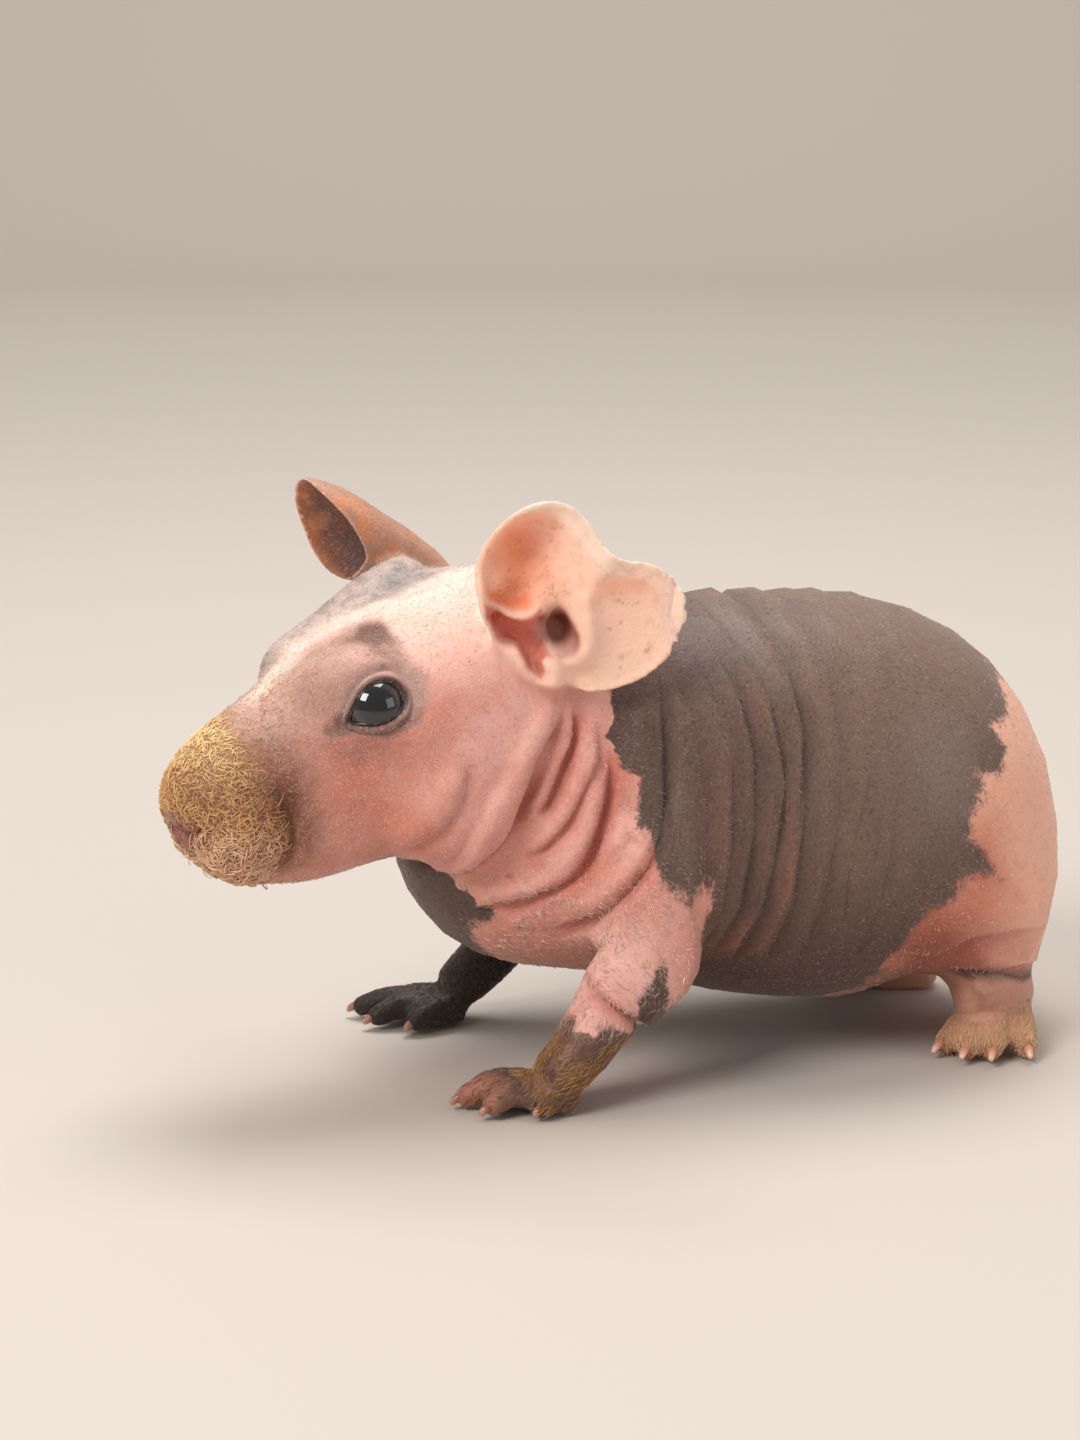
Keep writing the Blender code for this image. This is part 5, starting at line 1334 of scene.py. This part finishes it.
def hair_shape(name, path, width):
    """One hair of a coat along path, from its root at the origin, with a closed root and a pointed tip."""
    path = np.asarray(path, float)
    count = len(path)
    one, two = square_to(np.gradient(path, axis=0), (0.31, 0.95, 0.05))
    share = np.linspace(0, 1, count)
    radii = width / 2 * (1 - 0.75 * share**2)
    body = bmesh.new()
    rows = []
    for k in range(count - 1):
        rows.append([body.verts.new((path[k] + radii[k] * (math.cos(a) * one[k] + math.sin(a) * two[k])) * MM)
                     for a in np.arange(HAIR_SIDES) * 2 * math.pi / HAIR_SIDES])
    tip = body.verts.new(path[-1] * MM)
    for near, far in zip(rows, rows[1:]):
        for k in range(HAIR_SIDES):
            body.faces.new((near[k], near[(k + 1) % HAIR_SIDES], far[(k + 1) % HAIR_SIDES], far[k]))
    for k in range(HAIR_SIDES):
        body.faces.new((rows[-1][k], rows[-1][(k + 1) % HAIR_SIDES], tip))
    body.faces.new(rows[0][::-1])
    bmesh.ops.recalc_face_normals(body, faces=body.faces)
    mesh = bpy.data.meshes.new(name)
    body.to_mesh(mesh)
    body.free()
    mesh.shade_smooth()
    # Where each corner lies in the hair's own small patch of the unwrapped skin.
    patch = [(0.2 + 0.3 * k, row / count, 0)
             for row in range(count - 1) for k in range(HAIR_SIDES)] + [(0.5, 1, 0)]
    put_on(mesh, "patch", "FLOAT_VECTOR", patch)
    along_hair = [row / (count - 1) for row in range(count - 1) for _ in range(HAIR_SIDES)] + [1.0]
    put_on(mesh, "along", "FLOAT", along_hair)
    return bpy.data.objects.new(name, mesh)


def fuzz_shapes(name, length, width, bend, wave, steps, count, seed):
    """A few like hairs: each leaves the skin along z and leans over towards x, more or less wavy."""
    draw = np.random.default_rng(seed)
    holder = bpy.data.collections.new(name)
    for k in range(count):
        share = np.linspace(0, 1, steps)
        turn = share * bend * draw.uniform(0.7, 1.3)
        path = np.stack([np.cumsum(np.sin(turn)), np.zeros(steps), np.cumsum(np.cos(turn))], axis=1)
        path = (path - path[0]) / max(steps - 1, 1) * length
        start, lap = draw.uniform(0, 6.28), draw.uniform(0.7, 1.3) * wave[1]
        swing = wave[0] * draw.uniform(0.6, 1.3) * step(0, 0.3, share)
        path[:, 1] += swing * (np.sin(lap * share * 6.28 + start) - math.sin(start))
        path[:, 0] += swing * 0.6 * (np.cos(lap * share * 6.28 + start) - math.cos(start))
        holder.objects.link(hair_shape(f"{name}_{k}", path, width))
    return holder


def curl_shapes(name, radius, laps, width, steps, count, seed):
    """Curled hairs: each rises from the skin and winds round in an open loop."""
    draw = np.random.default_rng(seed)
    holder = bpy.data.collections.new(name)
    for k in range(count):
        share = np.linspace(0, 1, steps)
        turn = share * draw.uniform(*laps) * 2 * math.pi
        wide = draw.uniform(*radius) * (1 - 0.25 * share)
        tilt = draw.uniform(-0.5, 0.5)
        path = np.stack([wide * (1 - np.cos(turn)) + 0.5 * share,
                         tilt * wide * (1 - np.cos(turn)) + 0.45 * share * draw.uniform(-1, 1),
                         wide * np.sin(turn) * 0.75 + draw.uniform(0.3, 0.8) * share], axis=1)
        path[:, 2] = np.maximum(path[:, 2], 0.10 * step(0.1, 0.3, share)) + 0.05 * share
        holder.objects.link(hair_shape(f"{name}_{k}", path - path[0], width))
    return holder


def coat_tree():
    """Sets hairs of a collection over a skin, by its attributes growth, length, lie and unwrap."""
    tree = bpy.data.node_groups.new("coat", "GeometryNodeTree")
    face = tree.interface
    for name, kind in (("Skin", "NodeSocketGeometry"), ("Hairs", "NodeSocketCollection"),
                       ("Density", "NodeSocketFloat"), ("Lift", "NodeSocketFloat"),
                       ("Scatter", "NodeSocketFloat"), ("Uneven", "NodeSocketFloat"),
                       ("Seed", "NodeSocketInt"), ("Finish", "NodeSocketMaterial")):
        face.new_socket(name, in_out="INPUT", socket_type=kind)
    face.new_socket("Coat", in_out="OUTPUT", socket_type="NodeSocketGeometry")
    wire = Paint(tree)
    given = tree.nodes.new("NodeGroupInput")
    take = {name: Paint(tree, given.outputs[name]) for name in
            ("Skin", "Hairs", "Density", "Lift", "Scatter", "Uneven", "Seed", "Finish")}

    def named(name, kind):
        return wire.node("GeometryNodeInputNamedAttribute", {"data_type": kind}, {"Name": name})

    def vector(operation, one, two=(0, 0, 0), size=1.0):
        inputs = {0: one, 1: two} if operation != "SCALE" else {0: one, 3: size}
        return wire.node("ShaderNodeVectorMath", {"operation": operation}, inputs,
                         1 if operation in ("LENGTH", "DOT_PRODUCT") else 0)

    def drawn(kind, slot, low, high, offset):
        """A value drawn for each hair, from the node's sockets of this kind."""
        return wire.node("FunctionNodeRandomValue", {"data_type": kind},
                         {2 * slot: low, 2 * slot + 1: high, "Seed": take["Seed"] + offset}, slot)

    spread = wire.node("GeometryNodeDistributePointsOnFaces", {"distribute_method": "RANDOM"},
                       {"Mesh": take["Skin"], "Density": take["Density"] * named("growth", "FLOAT"),
                        "Seed": take["Seed"]})
    normal = Paint(tree, spread.socket.node.outputs["Normal"])
    jitter = drawn("FLOAT_VECTOR", 0, (-1, -1, -1), (1, 1, 1), 7.0)
    ahead = vector("ADD", named("lie", "FLOAT_VECTOR"), vector("SCALE", jitter, size=take["Scatter"]))
    ahead = vector("NORMALIZE", vector("SUBTRACT", ahead, vector(
        "SCALE", normal, size=vector("DOT_PRODUCT", ahead, normal))))
    rise = vector("NORMALIZE", vector("ADD", vector("SCALE", normal, size=take["Lift"]), ahead))
    turn = wire.node("FunctionNodeAxesToRotation", {"primary_axis": "Z", "secondary_axis": "X"},
                     {"Primary Axis": rise, "Secondary Axis": vector("SUBTRACT", ahead, normal)})
    varied = drawn("FLOAT", 1, 1.0 - take["Uneven"], 1.0 + take["Uneven"], 11.0)
    size = varied * named("length", "FLOAT")
    shapes = wire.node("GeometryNodeCollectionInfo", {}, {"Collection": take["Hairs"],
                                                          "Separate Children": True,
                                                          "Reset Children": True})
    pick = drawn("INT", 2, 0, 100, 13.0)
    shade = drawn("FLOAT", 1, 0.0, 1.0, 17.0)
    points = wire.node("GeometryNodeStoreNamedAttribute", {"data_type": "FLOAT", "domain": "POINT"},
                       {"Geometry": spread, "Name": "chance", "Value": shade})
    planted = wire.node("GeometryNodeInstanceOnPoints", {}, {
        "Points": points, "Instance": shapes, "Pick Instance": True, "Instance Index": pick, "Rotation": turn,
        "Scale": size})
    real = wire.node("GeometryNodeRealizeInstances", {}, {"Geometry": planted})
    flat = vector("ADD", named("unwrap", "FLOAT_VECTOR"),
                  vector("SCALE", named("patch", "FLOAT_VECTOR"), size=PATCH_SIZE))
    mapped = wire.node("GeometryNodeStoreNamedAttribute", {"data_type": "FLOAT2", "domain": "CORNER"},
                       {"Geometry": real, "Name": "OFBake", "Value": flat})
    finished = wire.node("GeometryNodeSetMaterial", {}, {"Geometry": mapped, "Material": take["Finish"]})
    end = tree.nodes.new("NodeGroupOutput")
    tree.links.new(finished.socket, end.inputs["Coat"])
    return tree


def hair_material():
    """Fine dry hair: a little paler and clearer towards its tip, and no two hairs quite alike."""
    material, shader, paint = new_material("hair", {"Roughness": 0.55, "Specular IOR Level": 0.3})
    tint, chance = paint.attribute("hair_tint", 0), paint.attribute("chance", 2)
    along = paint.attribute("along", 2)
    tone = paint.mix(tint, (0.45, 0.40, 0.36, 1), chance.between(0.75, 0.1) * 0.55, "MULTIPLY")
    tone = paint.mix(tone, (1.0, 0.90, 0.78, 1), along.between(0.3, 1.0) * 0.25)
    tone.into(shader, "Base Color")
    return material


coat_nodes = coat_tree()
hair_finish = hair_material()


def coat(name, shapes, growth, length, density, lift, scatter, uneven, seed, unwrap):
    """One piece of the coat, set over the skin where growth is above 0. Density is in hairs to the square
    mm."""
    put_on(skin.data, "growth", "FLOAT", np.where(growth > 0.02, growth, 0))
    put_on(skin.data, "length", "FLOAT", length)
    put_on(skin.data, "unwrap", "FLOAT_VECTOR", unwrap)
    base = bpy.data.objects.new("base", skin.data.copy())
    bpy.context.scene.collection.objects.link(base)
    grow = base.modifiers.new("grow", "NODES")
    grow.node_group = coat_nodes
    given = {"Hairs": shapes, "Density": density / MM**2, "Lift": lift, "Scatter": scatter, "Uneven": uneven,
             "Seed": seed, "Finish": hair_finish}
    for item in coat_nodes.interface.items_tree:
        if item.item_type == "SOCKET" and item.name in given:
            grow[item.identifier] = given[item.name]
    mesh = bpy.data.meshes.new_from_object(base.evaluated_get(bpy.context.evaluated_depsgraph_get()))
    bpy.data.objects.remove(base)
    # Hair that meets the floor lies along it.
    grown = places_of(mesh)
    grown[:, 2] = np.maximum(grown[:, 2], OVER_FLOOR - SHIFT[2])
    set_places(mesh, grown)
    made = bpy.data.objects.new(name, mesh)
    bpy.context.scene.collection.objects.link(made)
    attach(made, "root")
    return made


places, normals = places_of(skin.data), normals_of(skin.data)
head = body_to_head(places)
x, y, z = places.T
forward, left, up = head.T
face = head_share(places)
on_ear = np.maximum(step(1.9, 1.3, ear_distance[0]), step(1.7, 1.2, ear_distance[1]))
foot = step(13.5, 11.0, z) * np.maximum((x < 2) * 1.0, (x > 40) * 1.0) * (np.abs(y) > 8)
around_eye = np.minimum(*(span + 9 * (front < 0)
                          for span, front, _ in (eye_span(places, side) for side, _ in SIDES)))
bare_eye = step(1.28, 1.5, around_eye)
nose_tip = step(2.4, 3.6, np.hypot(forward - 64.2, np.hypot(up - 42.8, 0.5 * left)))
into_curls = forward - read_line(CURL_EDGE, up) + 2.0 * (cloud(places, 1.6, 81) - 0.5)
curly = step(-0.9, 1.3, into_curls) * step(33, 36, up) * nose_tip

# The hair lies back from the nose, towards the tail and down the legs, and forward over the toes.
back_from_nose = np.stack([-HEAD_AXES[0]] * len(places)) + np.array([0, 0, -0.15])
lie = back_from_nose * face[:, None] + np.array([1.0, 0, -0.55]) * (1 - face)[:, None]
on_leg = step(22, 14, z) * (np.abs(y) > 10)
lie = lie + (np.array([-0.5, 0, -1.0]) - lie) * (on_leg * (1 - foot))[:, None]
lie = lie + (np.array([-0.8, 0, -0.5]) - lie) * (foot * (x < 20))[:, None]
splayed = np.stack([0 * x - 0.55, 0.75 * np.sign(y), 0 * x - 0.6], axis=1)
lie = lie + (splayed - lie) * (foot * (x > 20))[:, None]
put_on(skin.data, "lie", "FLOAT_VECTOR", lie)

GOLD, BRIGHT_GOLD, PALE_GOLD = (0.78, 0.45, 0.20), (1.0, 0.74, 0.38), (0.84, 0.58, 0.40)
BLOND, GRIZZLE = (0.94, 0.72, 0.60), (0.42, 0.33, 0.29)
ASH, CHIN_GOLD = (0.84, 0.78, 0.72), (0.90, 0.58, 0.38)
AMBER, FOOT_BROWN, FOOT_BLACK = (0.44, 0.21, 0.06), (0.17, 0.11, 0.085), (0.045, 0.030, 0.024)
FOOT_BLOND, EAR_GOLD, MUZZLE_RUST = (0.90, 0.56, 0.30), (0.80, 0.55, 0.26), (0.40, 0.18, 0.085)
hair_tint = mixed(plain(len(x), BLOND), GRIZZLE, dark)
ridge = read_line(RIDGE, forward)
hair_tint = layered(hair_tint, (
    (ASH, 0.8 * face * step(-0.6, -3.0, left - ridge)),
    (PALE_GOLD, face * step(38, 50, forward) * 0.8),
    (GOLD, face * step(-3.5, 1.0, into_curls) * step(33, 40, up)),
    (BRIGHT_GOLD, face * step(-1.5, 1.5, into_curls) * step(46, 54, up - 0.4 * (forward - 57))),
    (CHIN_GOLD, 0.9 * face * step(46, 41, up) * step(50, 54, forward)),
))
# The curls behind the lip's pad darker rust, partly their own colour and partly painted shadow.
rust_patch_and_shadow = spot(forward, up, (52.4, 47.5), (4.6, 6.5)) * step(1, 4, left)
hair_tint = layered(hair_tint, (
    (MUZZLE_RUST, 0.85 * face * rust_patch_and_shadow),
    (BROW_GREY, 0.7 * face * spot(forward, left, (36.4, 6.6), (3.4, 4.4))),
    (EAR_GOLD, 0.8 * step(2.2, 1.6, ear_distance.min(axis=0))),
))
gold_patch = step(0.50, 0.62, cloud(places, 3.6, 82)) * (y < 0)
gold_patch = np.maximum(gold_patch, spot(x, z, (-12, 5), (4.0, 5.0)) * (y < -26))
hair_tint = layered(hair_tint, (
    (FOOT_BROWN, foot),
    (AMBER, foot * gold_patch * (x < 4)),
    (FOOT_BLACK, 0.9 * foot * (y > 0) * (x < 4)),
    (FOOT_BLOND, 0.9 * foot * (x > 20)),
))
put_on(skin.data, "hair_tint", "FLOAT_COLOR", hair_tint)

# The skin unwrapped: round the head's and the body's own long axes, and foot by foot.
head_wrap = np.stack([0.05 + 0.9 * np.clip((70 - forward) / 75, 0, 1),
                      0.05 + 0.9 * (np.arctan2(left, up - 52) / (2 * math.pi) + 0.5), 0 * x], axis=1)
body_wrap = np.stack([0.05 + 0.9 * np.clip((x + 35) / 112, 0, 1),
                      0.05 + 0.9 * (np.arctan2(-y, z - 38) / (2 * math.pi) + 0.5), 0 * x], axis=1)
foot_column = (x > 20) * 0.5 + (y > 0) * 0.25
round_foot = np.arctan2(z - 5, y - np.sign(y) * 22) / (2 * math.pi) + 0.5
foot_wrap = np.stack([foot_column + 0.02 + 0.2 * round_foot, 0.05 + 0.9 * ((x + 35) % 60) / 60, 0 * x],
                     axis=1)

short = fuzz_shapes("short_fuzz", 1.0, 0.085, 1.1, (0.06, 1.0), 3, 6, 5)
arcs = fuzz_shapes("arc_hair", 1.0, 0.08, 1.5, (0.12, 0.9), 4, 8, 6)
wavy = fuzz_shapes("wavy_hair", 1.0, 0.06, 0.9, (0.05, 1.0), 5, 8, 8)
sleek = fuzz_shapes("sleek_hair", 1.0, 0.075, 0.6, (0.03, 0.8), 5, 6, 10)
curls = curl_shapes("curls", (0.55, 1.1), (0.40, 0.80), 0.18, 10, 14, 7)
loops = curl_shapes("loops", (1.1, 2.3), (0.5, 0.85), 0.19, 18, 10, 9)
trunk = (1 - face) * (1 - on_ear) * (1 - foot) * (1 - step(18, 14, z) * (x > 40))
body_length = 0.78 + 0.5 * (1 - dark) * step(10, 0, x) * step(40, 30, z)
elbow_hair = spot(x, z, (-1, 19), (3.4, 5)) * (y < -24)
trunk = np.clip(trunk * (1 + 0.8 * step(12, 0, x) * (1 - dark)) / 1.8 + 0.8 * elbow_hair * dark, 0, 1)
coat("fuzz_body_left", short, trunk * (y < 0), body_length + 0.6 * elbow_hair, 3.2, 0.55, 0.8, 0.4, 11,
     body_wrap)
coat("fuzz_body_right", short, trunk * (y >= 0), body_length, 2.6, 0.55, 0.8, 0.4, 12, body_wrap)
plain_face = face * (1 - on_ear) * bare_eye * nose_tip * (1 - 0.75 * curly)
face_length = 0.72 + 0.5 * step(42, 54, forward)
coat("fuzz_face_left", arcs, plain_face * (left >= 0) * (forward > 38), face_length, 7.0, 0.5, 1.0, 0.35, 13,
     head_wrap)
coat("fuzz_cheek_left", arcs, plain_face * (left >= 0) * (forward <= 38), face_length, 6.0, 0.5, 1.0, 0.35,
     20, head_wrap)
coat("fuzz_face_right", arcs, plain_face * (left < 0), face_length, 4.2, 0.5, 1.0, 0.35, 14, head_wrap)
curl_length = 0.85 + 0.3 * step(50, 42, up)
coat("curls_left", curls, curly * (left >= 0), curl_length, 6.6, 0.9, 1.6, 0.35, 15, head_wrap)
coat("curls_right", curls, curly * (left < 0), curl_length, 6.2, 0.9, 1.6, 0.35, 17, head_wrap)
coat("loops_chin", loops, curly * step(47, 41, up) * step(63, 60, forward), np.full(len(x), 1.0), 1.2, 0.7,
     1.6, 0.4, 18, head_wrap)
# Fine gold hairs line the near ear's pocket and hollows and the back of the far one.
back, rise, _, share, degrees = on_near_ear(places)
pocket = bump(np.hypot(back + 5, (rise - 9.4) / 0.8), 0, 2.0)
pocket = np.maximum(pocket, 0.8 * bump(np.hypot(back - 0.5, rise - 8.6), 0, 1.5))
down = step(1.9, 1.3, ear_distance[0]) * pocket + 0.16 * step(1.7, 1.2, ear_distance[1])
coat("fuzz_ears", wavy, down * (head[:, 2] > 62), 0.7 + 0.5 * pocket, 5.0, 0.6, 0.8, 0.35, 21, head_wrap)
toes = step(2.6, 1.9, near_toes(places)) * step(0.6, 1.6, z)
hairy_foot = foot * step(0.6, 1.6, z) * (1 - 0.75 * step(-20, -24, x) * (x < 0))
coat("hair_forefeet", sleek, hairy_foot * (x < 20) * np.where(y < 0, 1.0, 0.7), 1.0 + 0.8 * gold_patch, 4.2,
     0.35, 0.45, 0.4, 16, foot_wrap)
coat("hair_hindfeet", sleek, foot * toes * (x > 20), np.full(len(x), 1.7), 7.0, 0.22, 0.25, 0.4, 19,
     foot_wrap)
